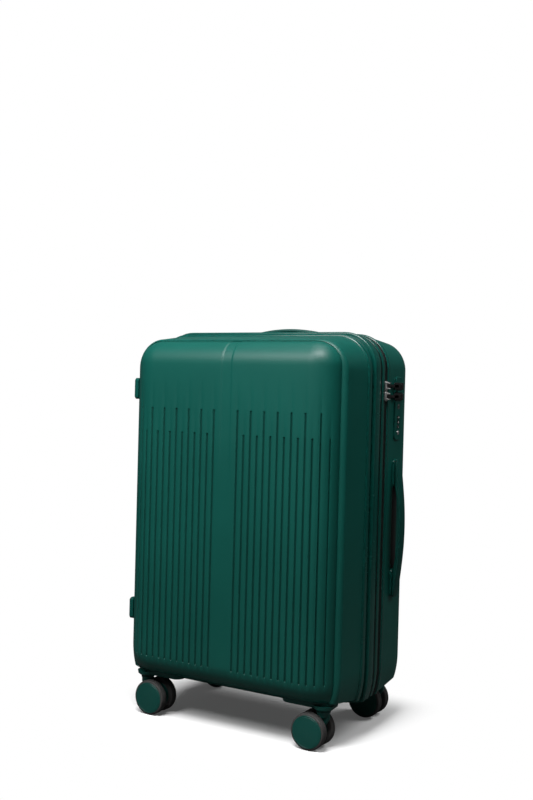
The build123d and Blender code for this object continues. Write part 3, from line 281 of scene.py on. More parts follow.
def block_layers(half, corner, height, roll, steps=6, base=0.0):
    """Layers of a block from a base height up to a rolled upper edge."""
    return inset_layers(half, corner, [(0.0, base)] + upper_roll(roll, height), steps)


def block(half, corner, height, roll, place, axes, steps=6, base=0.0):
    """Closed block with a rolled upper edge, standing at a place along the third axis."""
    return tube(stack(block_layers(half, corner, height, roll, steps, base), place, axes))


def spun_rings(profile, place, axes, steps=40):
    """Rings of (radius, height) pairs turned about axis_w: place + r cos t u + r sin t v + h w."""
    turn = np.linspace(0, 2 * math.pi, steps, endpoint=False)
    circle = np.stack([np.cos(turn), np.sin(turn)], axis=-1)
    return stack([(radius * circle, height) for radius, height in profile], place, axes)


print("corner curve", len(corner_curve(6, 1.0)), "points")

# %% [markdown]
# ## Finishes
#
# Moulded plastic is never one flat colour: the mould leaves a fine grain, handling leaves faint rub marks,
# and dust settles low down. These effects are shared, so each is a node group with named sockets, placed in
# every material with its own values. Nodes could be wired by hand in the editor; a few helpers that take a
# value or a socket keep the wiring readable here. Constant values stay on the shader's own sockets.

# %% Node helpers
def fill(tree, node, inputs):
    """Fills a node's inputs, by name or number: a socket is linked, and anything else is a plain value."""
    for label, source in inputs.items():
        if isinstance(source, bpy.types.NodeSocket):
            tree.links.new(source, node.inputs[label])
        else:
            node.inputs[label].default_value = source
    return node


def add_node(tree, kind, inputs=None, **settings):
    """One shader node: settings are its attributes, and inputs are filled once they are set."""
    node = tree.nodes.new("ShaderNode" + kind)
    for label, value in settings.items():
        setattr(node, label, value)
    return fill(tree, node, inputs or {})


def maths(tree, operation, *terms):
    """Result of a maths node whose terms are numbers or sockets."""
    return add_node(tree, "Math", dict(enumerate(terms)), operation=operation).outputs["Value"]


def ranged(tree, value, from_low=0.0, from_high=1.0, to_low=0.0, to_high=1.0, **settings):
    """A value carried from one range to another and held inside it."""
    ends = {"From Min": from_low, "From Max": from_high, "To Min": to_low, "To Max": to_high}
    return add_node(tree, "MapRange", {"Value": value, **ends}, **settings).outputs["Result"]


def noise(tree, place, scale, detail, roughness=0.5):
    """Cloudy noise of 0 to 1 at a place."""
    inputs = {"Vector": place, "Scale": scale, "Detail": detail, "Roughness": roughness}
    return add_node(tree, "TexNoise", inputs).outputs["Fac"]


def crossed_waves(tree, place, scale, distortion, detail):
    """The higher of two sets of waves, one running across and one up."""
    inputs = {"Vector": place, "Scale": scale, "Distortion": distortion, "Detail": detail}
    waves = [add_node(tree, "TexWave", inputs, bands_direction=way).outputs["Fac"] for way in ("X", "Z")]
    return maths(tree, "MAXIMUM", *waves)


# %% Node groups
def new_group(name, values, outputs):
    """Empty shader group with a Vector input, number inputs at their values and number outputs."""
    group = bpy.data.node_groups.new(name, "ShaderNodeTree")
    group.interface.new_socket("Vector", in_out="INPUT", socket_type="NodeSocketVector")
    for label, value in values.items():
        socket = group.interface.new_socket(label, in_out="INPUT", socket_type="NodeSocketFloat")
        socket.default_value = value
    for label in outputs:
        group.interface.new_socket(label, in_out="OUTPUT", socket_type="NodeSocketFloat")
    return group, group.nodes.new("NodeGroupInput").outputs


def put_out(group, **outputs):
    """Feeds a group's outputs and hands the group back."""
    fill(group, group.nodes.new("NodeGroupOutput"), outputs)
    return group


def grain_group():
    """Mould grain: fine noise for the height, and a broad noise that clouds the shade a little."""
    group, start = new_group("mould_grain", {"Fineness": 900.0, "Cloud": 6.0}, ("Height", "Shade"))
    fine = noise(group, start["Vector"], start["Fineness"], 2.0)
    cloud = noise(group, start["Vector"], start["Cloud"], 3.0)
    return put_out(group, Height=fine, Shade=ranged(group, cloud, 0.3, 0.7))


def rub_group():
    """Rub marks: a noise stretched along X, cut to its few highest streaks."""
    group, start = new_group("rub_marks", {"Scale": 14.0, "Amount": 0.5}, ("Mask",))
    stretched = add_node(group, "Mapping", {
        "Vector": start["Vector"], "Scale": (0.35, 1.0, 1.6), "Rotation": (0.0, 0.5, 0.2)})
    streak = noise(group, stretched.outputs["Vector"], start["Scale"], 8.0, 0.7)
    return put_out(group, Mask=maths(group, "MULTIPLY", ranged(group, streak, 0.58, 0.78), start["Amount"]))


def dust_group():
    """Dust: strongest at the floor, gone above a height, and broken up by noise."""
    group, start = new_group("low_dust", {"Height": 0.16, "Amount": 0.3}, ("Mask",))
    place = add_node(group, "SeparateXYZ", {"Vector": start["Vector"]})
    low = ranged(group, place.outputs["Z"], 0.0, start["Height"], 1.0, 0.0)
    share = maths(group, "MULTIPLY", low, noise(group, start["Vector"], 45.0, 6.0))
    return put_out(group, Mask=maths(group, "MULTIPLY", share, start["Amount"]))


def weave_group():
    """Plain weave: two crossed waves, over and under in turn, and an uneven dye."""
    group, start = new_group("plain_weave", {"Threads": 1500.0}, ("Height", "Shade"))
    threads = crossed_waves(group, start["Vector"], start["Threads"], 0.6, 1.0)
    return put_out(group, Height=threads, Shade=noise(group, start["Vector"], 40.0, 4.0))


GRAIN, RUBS, DUST, WEAVE = grain_group(), rub_group(), dust_group(), weave_group()
print("groups", [group.name for group in bpy.data.node_groups])

# %% [markdown]
# A plastic or metal takes its colour between two close shades, its roughness from the rub marks, and its
# bump from the grain. A cloth does the same with the weave. One function per kind keeps the materials alike.

# %% Materials
DUST_COLOUR = (0.16, 0.16, 0.15)
CLOUD_DARK, CLOUD_LIGHT, CLOUD_LIFT, RUB_DULLS, GRAIN_HEIGHT = 0.92, 1.08, 0.0006, 0.18, 0.0004
DYE_DARK, DYE_LIGHT, DYE_LIFT, THREAD_HEIGHT = 0.75, 1.2, 0.001, 0.0006


def new_material(name):
    """Material with its tree, Principled shader and Object coordinates."""
    material = bpy.data.materials.new(name)
    material.use_nodes = True
    tree = material.node_tree
    return material, tree, tree.nodes["Principled BSDF"], add_node(tree, "TexCoord").outputs["Object"]


def between(tree, factor, dark, light):
    """Colour that runs from dark to light as a factor goes from 0 to 1; each is a socket or a colour."""
    ends = [(*colour, 1.0) if isinstance(colour, tuple) else colour for colour in (dark, light)]
    return add_node(tree, "Mix", {0: factor, 6: ends[0], 7: ends[1]}, data_type="RGBA").outputs[2]


def shades(colour, dark, light, lift):
    """A darker and a lighter shade of a colour."""
    return tuple(dark * v for v in colour), tuple(light * v + lift for v in colour)


def moulded(name, colour, roughness, fineness=900.0, bump=0.04, rub=0.5, dust=0.025, metallic=0.0, coat=0.0,
            specular=0.25):
    """Plastic or metal: grain in the bump, clouded colour with dust low down, rub marks in the roughness."""
    material, tree, shader, place = new_material(name)
    grain = add_node(tree, "Group", {"Vector": place, "Fineness": fineness}, node_tree=GRAIN).outputs
    rubs = add_node(tree, "Group", {"Vector": place, "Amount": rub}, node_tree=RUBS).outputs
    dusty = add_node(tree, "Group", {"Vector": place, "Amount": dust}, node_tree=DUST).outputs
    clouded = between(tree, grain["Shade"], *shades(colour, CLOUD_DARK, CLOUD_LIGHT, CLOUD_LIFT))
    relief = add_node(tree, "Bump", {"Strength": bump, "Distance": GRAIN_HEIGHT, "Height": grain["Height"]})
    fill(tree, shader, {
        "Base Color": between(tree, dusty["Mask"], clouded, DUST_COLOUR),
        "Roughness": ranged(tree, rubs["Mask"], to_low=roughness, to_high=roughness + RUB_DULLS),
        "Normal": relief.outputs["Normal"],
        "Metallic": metallic, "Specular IOR Level": specular, "Coat Weight": coat,
    })
    return material


def woven(name, colour, threads=1500.0, bump=0.35, roughness=0.85, sheen=0.2):
    """Cloth: crossed threads in the bump, uneven dye in the colour, and a soft sheen."""
    material, tree, shader, place = new_material(name)
    weave = add_node(tree, "Group", {"Vector": place, "Threads": threads}, node_tree=WEAVE).outputs
    relief = add_node(tree, "Bump", {"Strength": bump, "Distance": THREAD_HEIGHT, "Height": weave["Height"]})
    fill(tree, shader, {
        "Base Color": between(tree, weave["Shade"], *shades(colour, DYE_DARK, DYE_LIGHT, DYE_LIFT)),
        "Normal": relief.outputs["Normal"], "Roughness": roughness, "Sheen Weight": sheen,
    })
    return material


def recessed(material, shade):
    """The same material, its colour multiplied by shade where the recess attribute is 1: painted shade in the
    grooves.
    """
    tree = material.node_tree
    shader = tree.nodes["Principled BSDF"]
    colour = shader.inputs["Base Color"].links[0].from_socket
    depth = add_node(tree, "Attribute", attribute_name="recess").outputs["Fac"]
    tone = ranged(tree, depth, to_low=1.0, to_high=shade)
    darker = add_node(tree, "VectorMath", {0: colour, 1: tone}, operation="MULTIPLY")
    fill(tree, shader, {"Base Color": darker.outputs[0]})
    return material


# Painted shade: the shell's colour is halved where its grooves are deepest.
SHELL = recessed(moulded("satin_green_shell", (0.0016, 0.060, 0.047), 0.42, bump=0.05, rub=0.35), 0.5)
TRIM = moulded("gloss_green_trim", (0.0012, 0.048, 0.038), 0.26, bump=0.01, rub=0.4, coat=0.15)
GREEN_PLASTIC = moulded("green_fittings", (0.0014, 0.050, 0.040), 0.34, bump=0.05)
GRIP_PLASTIC = moulded("soft_touch_green", (0.0013, 0.040, 0.032), 0.46, bump=0.10, fineness=1400.0)
BLACK_PLASTIC = moulded("black_plastic", (0.010, 0.011, 0.011), 0.42, bump=0.08)
TAB_BLACK = moulded("gloss_black_tab", (0.008, 0.008, 0.008), 0.26, bump=0.02, dust=0.0)
CASTER_GREEN = moulded("green_caster", (0.0014, 0.052, 0.042), 0.38, bump=0.05, dust=0.05)
TYRE = moulded("grey_tyre", (0.036, 0.035, 0.035), 0.62, fineness=1600.0, bump=0.16, dust=0.2)
GUNMETAL = moulded("gunmetal", (0.34, 0.33, 0.33), 0.4, metallic=0.7, bump=0.02, dust=0.0)
STEEL = moulded("bright_steel", (0.42, 0.42, 0.42), 0.3, metallic=1.0, bump=0.02, dust=0.0)
TUBE_METAL = moulded("anodised_tube", (0.5, 0.5, 0.5), 0.36, metallic=0.75, bump=0.03, fineness=2500.0,
                     dust=0.0)
DIAL_BLACK = moulded("dial_black", (0.012, 0.012, 0.012), 0.4, bump=0.02, dust=0.0)
DIGIT_PAINT = moulded("digit_paint", (0.62, 0.62, 0.60), 0.5, bump=0.02, dust=0.0)
ZIP_TAPE = woven("zip_tape", (0.005, 0.009, 0.008), threads=1800.0, sheen=0.0)
ZIP_COIL = moulded("zip_coil", (0.006, 0.009, 0.008), 0.4, bump=0.02)
LINING = woven("lining_cloth", (0.030, 0.036, 0.036))
WEBBING = woven("strap_webbing", (0.010, 0.020, 0.018), threads=900.0, bump=0.6)
print("materials", len(bpy.data.materials))

# %% [markdown]
# ## The shells
#
# A shell is a frame that tapers from its rim to a rounded shoulder, with a domed panel rising out of it.
# A sculpted or subdivided cube would give the dome but not straight, even grooves. Instead the panel is a
# grid whose corner squares are pressed into quarter ellipses by the map
# (p, q) -> (p sqrt(1 - q^2 / 2), q sqrt(1 - p^2 / 2)), so that its border is exactly the valley line, and the
# frame grows from that border as rings. The lower corners of the real case are squarer, to carry the casters.
# Grooves, the soft valleys between ribs, and the band down the middle are depths pressed along the surface's
# own normal.

# %% Panel grid
FRONT_Y, BACK_Y = span("front_shell")[0][1], span("back_shell")[1][1]
MID_Z = (span("main_zip_back")[0][2] + span("main_zip_back")[1][2]) / 2
VALLEY = np.array([195.5, 286.0])
FLAT = np.array([149.0, 247.0])
DOME_RISE, DOME_RADIUS = 30.0, 36.0
GROOVE_FIRST, GROOVE_PITCH, GROOVES_PER_SIDE = 23.0, 12.6, 14
GROOVE_HALF, GROOVE_DEPTH = 1.4, 1.8
GROOVE_BOTTOM, GROOVE_LONG_TOP, GROOVE_SHORT_TOP = -253.5, 173.0, 133.5
VALLEY_DEPTH, VALLEY_SPREAD, VALLEY_FADE, BOTTOM_FADE, STEEPEST = 0.8, 3.4, 60.0, 8.0, 0.92
BAND_HALF, BAND_EDGE, BAND_DEPTH = 9.5, 1.6, 0.9
BAND_FADE = (20.0, 170.0)
GROOVE_CENTRES = GROOVE_FIRST + GROOVE_PITCH * np.arange(GROOVES_PER_SIDE)
LOW_ROUND = 0.45
WALL_STATIONS = np.array([-2.2, -1.3, -0.9, -0.35, 0.35, 0.9, 1.3, 2.2, 4.4, 6.3, 8.2])
BAND_STATIONS = np.array([3.0, 6.0, 7.6, 8.4, 9.0, 9.6, 10.4, 11.4, 14.0, 17.5])
END_STATIONS = np.array([0.0, 0.2, 0.5, 0.9, 1.3, 2.2, 5.0])
FADE_STATIONS = np.array([5.0, 11.0, 18.0, 26.0, 34.0])
TOP_STATIONS = np.array([215.0, 225.0, 236.0])
PLAIN_ABOVE, PLAIN_TOP, PLAIN_ROWS = 20.0, 110.0, 20
EDGE_MARGIN, EDGE_COLUMNS, FILLET_ROWS, FOOT_MARGIN = 5.0, 8, 13, 2.0


def smooth_step(low, high, value):
    """0 below low, 1 above high, and 3t^2 - 2t^3 between them."""
    t = np.clip((value - low) / (high - low), 0, 1)
    return t * t * (3 - 2 * t)


def panel_stations():
    """Column places across the panel, dense at groove walls, and row places up it, dense at groove ends."""
    grooved = (GROOVE_CENTRES[:, None] + WALL_STATIONS).ravel()
    grooved = grooved[grooved < VALLEY[0] - EDGE_MARGIN]
    tail = grooved[-1] + (VALLEY[0] - grooved[-1]) * np.linspace(0, 1, EDGE_COLUMNS)[1:] ** 0.5
    right = np.concatenate([BAND_STATIONS, grooved, tail])
    columns = np.concatenate([-right[::-1], [0.0], right])
    fillet = FLAT[1] + (VALLEY[1] - FLAT[1]) * np.sin(np.linspace(0, 1, FILLET_ROWS) * math.pi / 2)
    rows = np.concatenate([
        -fillet[1:][::-1], [-FLAT[1] - FOOT_MARGIN], GROOVE_BOTTOM + END_STATIONS,
        np.linspace(GROOVE_BOTTOM + PLAIN_ABOVE, PLAIN_TOP, PLAIN_ROWS),
        GROOVE_SHORT_TOP - END_STATIONS[::-1], GROOVE_SHORT_TOP + FADE_STATIONS,
        GROOVE_LONG_TOP - END_STATIONS[::-1], GROOVE_LONG_TOP + FADE_STATIONS, TOP_STATIONS, fillet,
    ])
    return columns, np.unique(np.round(rows, 3))


def corner_share(x, z):
    """How far a point is from the flat towards the valley, across and up: 0 on the flat, 1 at the valley."""
    p = np.clip((np.abs(x) - FLAT[0]) / (VALLEY[0] - FLAT[0]), 0, 1)
    q = np.clip((np.abs(z) - FLAT[1]) / (VALLEY[1] - FLAT[1]), 0, 1)
    return p, q


def corner_map(x, z):
    """Signed shares by the corner map; in the lower corners it is mixed with the plain, squarer share."""
    p, q = corner_share(x, z)
    roundness = np.where(z < 0, LOW_ROUND, 1.0)
    across = p * (1 - roundness + roundness * np.sqrt(1 - q * q / 2))
    up = q * (1 - roundness + roundness * np.sqrt(1 - p * p / 2))
    return np.sign(x) * across, np.sign(z) * up


def panel_points(columns, rows):
    """Smooth dome: x and z by the corner map, and depth R (1 - cos t) with sin t set by the shares."""
    x, z = np.meshgrid(columns, rows, indexing="ij")
    p, q = corner_share(x, z)
    out_x, out_z = corner_map(x, z)
    sine_end = math.sqrt(1 - (1 - DOME_RISE / DOME_RADIUS) ** 2)
    sine = sine_end * np.sqrt(np.clip(p * p + q * q - p * p * q * q, 0, 1))
    drop = DOME_RADIUS * (1 - np.sqrt(1 - sine * sine))
    core_x, core_z = np.clip(x, -FLAT[0], FLAT[0]), np.clip(z, -FLAT[1], FLAT[1])
    spread = VALLEY - FLAT
    return np.stack([core_x + spread[0] * out_x, drop, core_z + spread[1] * out_z], axis=-1)


def panel_depths(columns, rows):
    """Depths pressed into the dome: capsule slots alone, and slots with bell-shaped valleys and the band."""
    x, z = np.meshgrid(columns, rows, indexing="ij")
    lean = np.sqrt(1 - np.minimum(corner_share(x, z)[0], STEEPEST) ** 2)
    depth = BAND_DEPTH * smooth_step(BAND_HALF + BAND_EDGE, BAND_HALF - BAND_EDGE, np.abs(x))
    depth = depth * smooth_step(*BAND_FADE, z)
    slots = np.zeros_like(depth)
    for index, centre in enumerate(GROOVE_CENTRES):
        top = GROOVE_SHORT_TOP if index % 2 else GROOVE_LONG_TOP
        across = (np.abs(x) - centre) / lean
        beyond = np.maximum(np.maximum(z - top + GROOVE_HALF, GROOVE_BOTTOM + GROOVE_HALF - z), 0)
        reach = np.sqrt(across**2 + beyond**2) / GROOVE_HALF
        slot = GROOVE_DEPTH * np.sqrt(np.clip(1 - reach**2, 0, 1))
        fade = smooth_step(top + VALLEY_FADE, top, z)
        fade = fade * smooth_step(GROOVE_BOTTOM - BOTTOM_FADE, GROOVE_BOTTOM, z)
        valley = VALLEY_DEPTH * np.exp(-((across / VALLEY_SPREAD) ** 2)) * fade
        depth = np.maximum(depth, slot + valley)
        slots = np.maximum(slots, slot)
    return slots, depth


def pressed(points, depth):
    """Points moved in by depth along the unit normal, the cross product of the grid's two slopes."""
    along = np.gradient(points, axis=0)
    up = np.gradient(points, axis=1)
    normal = np.cross(along, up)
    normal /= np.linalg.norm(normal, axis=-1, keepdims=True)
    normal *= np.where(normal[..., 1:2] > 0, 1, -1)
    return points + normal * depth[..., None]


columns, rows = panel_stations()
dome = panel_points(columns, rows)
slot_depth, panel_depth = panel_depths(columns, rows)
grooved_dome = pressed(dome, panel_depth)
print("panel grid", dome.shape)

# %% [markdown]
# The border of the grid is walked once round. Each border point keeps two things: its place on the core
# rectangle and its outward direction, so that a ring of any size and corner radius is one line of
# arithmetic: core times (half-size minus radius) plus direction times radius. The front shoulder is a soft
# roll and the back one a tighter one. The back shell also has holes cut in it for the trolley's cup and for
# the lock.

# %% Frame rings and closed shells
SHELL_WALL = 3.0
FRONT_ROLL, BACK_ROLL = (8.0, math.radians(25)), (3.5, 0.0)
SHOULDER_CORNER, RIM_CORNER = 51.0, 59.0
SHOULDER_RINGS, WALL_RINGS = 9, 4
LAND_DEPTH, VALLEY_GAP, VALLEY_FLOOR = DOME_RISE - 0.6, 1.2, 0.6
FRONT_SHOULDER, FRONT_RIM = np.array([205.0, 290.0]), np.array([209.5, 299.5])
BACK_SHOULDER, BACK_RIM = np.array([206.0, 296.0]), np.array([211.0, 304.0])
FRONT_RIM_Y, BACK_RIM_Y = span("front_shell")[1][1], span("back_shell")[0][1]


def border_frame():
    """Border walk, counter-clockwise from the lower left: grid numbers, core places and directions out."""
    number = np.arange(len(columns) * len(rows)).reshape(len(columns), len(rows))
    order = np.concatenate([number[:-1, 0], number[-1, :-1], number[:0:-1, -1], number[0, :0:-1]])
    x, z = np.meshgrid(columns, rows, indexing="ij")
    x, z = x.ravel()[order], z.ravel()[order]
    way = np.stack(corner_map(x, z), axis=-1)
    core = np.stack([np.clip(x / FLAT[0], -1, 1), np.clip(z / FLAT[1], -1, 1)], axis=-1)
    return order, core, way


BORDER, BORDER_CORE, BORDER_WAY = border_frame()


def ring_points(half, corner, depth):
    """Ring of half-size half and corner radius corner at a depth: core (half - corner) + way corner."""
    flat = BORDER_CORE * (np.asarray(half) - corner) + BORDER_WAY * corner
    return np.stack([flat[:, 0], np.full(len(flat), float(depth)), flat[:, 1]], axis=-1)


def shell_levels(shoulder, rim, rim_depth, roll):
    """Rings of the frame: one in the valley, some round the shoulder and down the wall, and two inside."""
    floor, edge = VALLEY + VALLEY_GAP / 2, VALLEY + VALLEY_GAP
    roll_drop, lean = roll
    levels = [ring_points(floor, floor - FLAT, LAND_DEPTH + VALLEY_FLOOR)]
    for turn in np.linspace(lean, math.pi / 2, SHOULDER_RINGS):
        share = (math.sin(turn) - math.sin(lean)) / (1 - math.sin(lean))
        corner = edge - FLAT + (SHOULDER_CORNER - edge + FLAT) * share
        drop = roll_drop * (1 - math.cos(turn) / math.cos(lean))
        levels.append(ring_points(edge + (shoulder - edge) * share, corner, LAND_DEPTH + drop))
    wall_top = LAND_DEPTH + roll_drop
    for share in np.linspace(0, 1, WALL_RINGS + 1)[1:]:
        corner = SHOULDER_CORNER + (RIM_CORNER - SHOULDER_CORNER) * share
        depth = wall_top + (rim_depth - wall_top) * share
        levels.append(ring_points(shoulder + (rim - shoulder) * share, corner, depth))
    levels.append(ring_points(rim - SHELL_WALL, RIM_CORNER - SHELL_WALL, rim_depth))
    levels.append(ring_points(shoulder - SHELL_WALL, SHOULDER_CORNER - SHELL_WALL, wall_top + SHELL_WALL))
    return levels


def shell_shape(shoulder, rim, rim_depth, roll):
    """Closed shell in panel depth: grooved dome, frame rings, and a plain dome one wall further in."""
    levels = shell_levels(shoulder, rim, rim_depth, roll)
    inner_scale = np.array([1 - SHELL_WALL / VALLEY[0], 1.0, 1 - SHELL_WALL / VALLEY[1]])
    inner = dome * inner_scale + SHELL_WALL * Y
    count, border = len(columns) * len(rows), len(BORDER)
    points = np.concatenate([grooved_dome.reshape(-1, 3), *levels, inner.reshape(-1, 3)])
    inner_start = count + len(levels) * border
    rings = count + np.arange(len(levels) * border).reshape(-1, border)
    strips = np.concatenate([[BORDER], rings, [inner_start + BORDER]])
    ahead = np.roll(strips, -1, axis=1)
    sides = np.stack([strips[:-1], ahead[:-1], ahead[1:], strips[1:]], axis=-1).reshape(-1, 4)
    grid = grid_faces(len(columns), len(rows))
    return points, [grid, sides[:, ::-1], (grid + inner_start)[:, ::-1]]


def shell_recess(shape):
    """Share of the full groove depth at each point of a shell, for the painted shade in its grooves."""
    share = np.zeros(len(shape[0]))
    share[:slot_depth.size] = np.sqrt(slot_depth.ravel() / GROOVE_DEPTH)
    return share


def faced(shape, front):
    """A shape in panel depth set in the case: the front panel faces -Y and the back panel +Y."""
    points, faces = shape
    depth = FRONT_Y + points[:, 1] if front else BACK_Y - points[:, 1]
    return np.stack([points[:, 0], depth, points[:, 2] + MID_Z], axis=-1), faces


BEZEL_LOW, BEZEL_HIGH = span("trolley_bezel")
LOCK_LOW, LOCK_HIGH = span("lock_housing")
LOCK_HALF, LOCK_CORNER, LOCK_OVERLAP = (LOCK_HIGH - LOCK_LOW)[1:] / 2, 8.0, 0.4
BEZEL_LIP, BEZEL_CORNER = 2.0, 7.0
BEZEL_MID = (BEZEL_LOW + BEZEL_HIGH) / 2
CUP_CUT, LOCK_CUT = (-40.0, 40.0), (-30.0, 30.0)
cup_half = (BEZEL_HIGH - BEZEL_LOW)[:2] / 2 - BEZEL_LIP
cup_hole = tube(stack([(rounded(cup_half, BEZEL_CORNER), h) for h in CUP_CUT], BEZEL_MID, UP_AXES))
lock_hole = tube(stack([(rounded(LOCK_HALF - LOCK_OVERLAP, LOCK_CORNER), h) for h in LOCK_CUT],
                       (LOCK_LOW + LOCK_HIGH) / 2, RIGHT_AXES))
front_form = shell_shape(FRONT_SHOULDER, FRONT_RIM, FRONT_RIM_Y - FRONT_Y, FRONT_ROLL)
back_form = shell_shape(BACK_SHOULDER, BACK_RIM, BACK_Y - BACK_RIM_Y, BACK_ROLL)
make_piece("front_shell_skin", [faced(front_form, True)], "front_half", SHELL, ["front_shell"],
           recess=shell_recess(front_form))
make_piece("back_shell_skin", [faced(back_form, False)], "back_half", SHELL, ["back_shell"],
           cutters=[cup_hole, lock_hole], recess=shell_recess(back_form))

# %% [markdown]
# ## Beads and bands round the rim
#
# Between the shells lie a rolled trim, a recess, a bead, a gloss band, a strip and a second trim. Each is
# one profile carried round the rim. A curve with a bevel object could do the same, but its corners would
# need many points. Here every profile point becomes a rounded rectangle that is larger or smaller by the
# point's height.

# %% Rim rings
BEAD_PROUD, BEAD_ROLL, RING_WALL = 1.2, 2.6, 5.5
BAND_LOW, BAND_HIGH = span("front_band")
RIM_HALF = (BAND_HIGH - BAND_LOW)[[0, 2]] / 2 - BEAD_PROUD
RIM_MIDDLE = MID_Z * Z
RECESS_STEP, BEAD_FRONT, BEAD_BACK = 4.0, BAND_LOW[1] + 9.5, BAND_LOW[1] + 16.5
TRIM_REACH, TRIM_OVERLAP, TRIM_BASE, TRIM_CROWN, TRIM_ROLL = 11.5, 2.0, -1.8, 1.9, 3.2
STRIP_CROWN, STRIP_ROLL, BACK_OVERLAP, BACK_CROWN, BACK_TRIM_ROLL = -0.5, 1.6, 1.5, 0.5, 2.8


def lip(front, back, base, crown, roll, steps=5):
    """Closed profile of (height, depth) pairs: a lip from base to crown with both outer edges rolled."""
    turn = np.linspace(0, math.pi / 2, steps)
    first = np.stack([crown - roll + roll * np.sin(turn), front + roll - roll * np.cos(turn)], axis=-1)
    last = np.stack([crown - roll + roll * np.cos(turn), back - roll + roll * np.sin(turn)], axis=-1)
    return np.concatenate([[(base, front)], first, last, [(base, back)]])


def rim_ring(profile, half=RIM_HALF, corner=RIM_CORNER, steps=12):
    """(height, depth) pairs carried round the rim: half-size and corner radius grow by the height."""
    layers = [(rounded(half + height, corner + height, steps, low=LOW_ROUND), depth)
              for height, depth in profile]
    return hoop(stack(layers, RIM_MIDDLE, BACK_AXES))


def band_profile():
    """Recess, bead and land of the front band in one profile, with a small step down after the bead."""
    bead = lip(BEAD_FRONT, BEAD_BACK, -RECESS_STEP, BEAD_PROUD, BEAD_ROLL, 6)[1:-1]
    start = [(-RING_WALL, BAND_LOW[1]), (-RECESS_STEP, BAND_LOW[1]), (-RECESS_STEP, BEAD_FRONT)]
    step = [(-0.6, BEAD_BACK), (-0.6, BEAD_BACK + 0.6)]
    land = [(0.0, BEAD_BACK + 1.4), (0.25, BEAD_BACK + 8.0), (0.0, BAND_HIGH[1] - 1.2),
            (-0.8, BAND_HIGH[1]), (-RING_WALL, BAND_HIGH[1])]
    return np.concatenate([start, bead, step, land])


STRIP_LOW, STRIP_HIGH = span("expander_strip")
BACK_TRIM_LOW, BACK_TRIM_HIGH = span("back_trim")
front_trim = lip(FRONT_RIM_Y - TRIM_REACH, FRONT_RIM_Y + TRIM_OVERLAP, TRIM_BASE, TRIM_CROWN, TRIM_ROLL, 7)
strip = lip(STRIP_LOW[1], STRIP_HIGH[1], -RING_WALL, STRIP_CROWN, STRIP_ROLL)
back_trim = lip(BACK_TRIM_LOW[1], BACK_TRIM_HIGH[1] + BACK_OVERLAP, -RING_WALL, BACK_CROWN, BACK_TRIM_ROLL, 7)
make_piece("front_trim_bead", [rim_ring(front_trim, FRONT_RIM)], "front_half", TRIM, ["front_trim"])
make_piece("front_band_ring", [rim_ring(band_profile())], "front_half", TRIM, ["front_band"])
make_piece("expander_strip_ring", [rim_ring(strip)], "lid_frame", TRIM, ["expander_strip"])
make_piece("back_trim_bead", [rim_ring(back_trim)], "back_half", TRIM, ["back_trim"])

# %% [markdown]
# ## Zips
#
# A zip is two woven tapes with a row of coil teeth on each facing edge. A texture would look flat at the
# edge of the case, so each tooth is a small tapered block. The blocks are set at even steps along the rim,
# the back row half a step on from the front row, so that the rows mesh as a closed zip's do.

# %% Zip tapes and teeth
TOOTH_PITCH, TOOTH_REACH, TOOTH_ROOT, TOOTH_TAPER = 2.0, 0.45, 1.5, 0.3
TOOTH_FOOT_HALF, TOOTH_TIP_HALF, TOOTH_BASE, TOOTH_TOP = 0.42, 0.28, -0.8, 0.55
ZIP_STEP, TAPE_BASE, TAPE_ROLL, TAPE_GAP, AHEAD = 1.4, -3.4, 0.3, 0.4, 0.3
TOOTH_FACES = np.array([[0, 1, 2, 3], [7, 6, 5, 4], [0, 4, 5, 1], [1, 5, 6, 2], [2, 6, 7, 3], [3, 7, 4, 0]])


def rim_places(height, phase):
    """Even places round the rim at a height: position, direction along the rim and direction out of it."""
    outline = rounded(RIM_HALF + height, RIM_CORNER + height, 24, low=LOW_ROUND)
    closed = np.concatenate([outline, outline[:1]])
    length = np.concatenate([[0.0], np.cumsum(np.linalg.norm(np.diff(closed, axis=0), axis=1))])
    count = int(length[-1] / TOOTH_PITCH)
    at = (np.arange(count) + phase) * length[-1] / count
    place, ahead = (
        np.stack([np.interp((at + step) % length[-1], length, closed[:, k]) for k in (0, 1)], axis=-1)
        for step in (0.0, AHEAD)
    )
    ahead = (ahead - place) / np.linalg.norm(ahead - place, axis=1, keepdims=True)
    return place, ahead, np.stack([ahead[:, 1], -ahead[:, 0]], axis=-1)


def zip_teeth(front, back, phase):
    """Tooth blocks: eight corners each, place + a ahead + h out, the outer face smaller than the root."""
    place, ahead, out = rim_places(-ZIP_STEP, phase)
    sign = np.array([-1, 1, 1, -1])
    along = np.concatenate([TOOTH_FOOT_HALF * sign, TOOTH_TIP_HALF * sign])
    height = np.repeat([TOOTH_BASE, TOOTH_TOP], 4)
    depth = np.repeat([front, back, front + TOOTH_TAPER, back - TOOTH_TAPER], 2)
    flat = place[:, None] + along[:, None] * ahead[:, None] + height[:, None] * out[:, None]
    deep = np.broadcast_to(depth, flat.shape[:2])
    points = np.stack([flat[..., 0], deep, flat[..., 1] + MID_Z], axis=-1).reshape(-1, 3)
    return points, [(TOOTH_FACES + 8 * np.arange(len(place))[:, None, None]).reshape(-1, 4)]


def make_zip_half(node, body, toward, phase):
    """Tape and teeth of one zip half; toward is 1 when its teeth are on the back edge and -1 on the front."""
    low, high = span(node)
    edge = high[1] if toward > 0 else low[1]
    tape_ends = sorted((low[1] if toward > 0 else high[1], edge - toward * TAPE_GAP))
    tape = rim_ring(lip(*tape_ends, TAPE_BASE, -ZIP_STEP, TAPE_ROLL))
    teeth = zip_teeth(*sorted((edge - toward * TOOTH_ROOT, edge + toward * TOOTH_REACH)), phase)
    make_piece(node + "_tape", [tape], body, ZIP_TAPE, [node])
    make_piece(node + "_teeth", [teeth], body, ZIP_COIL)


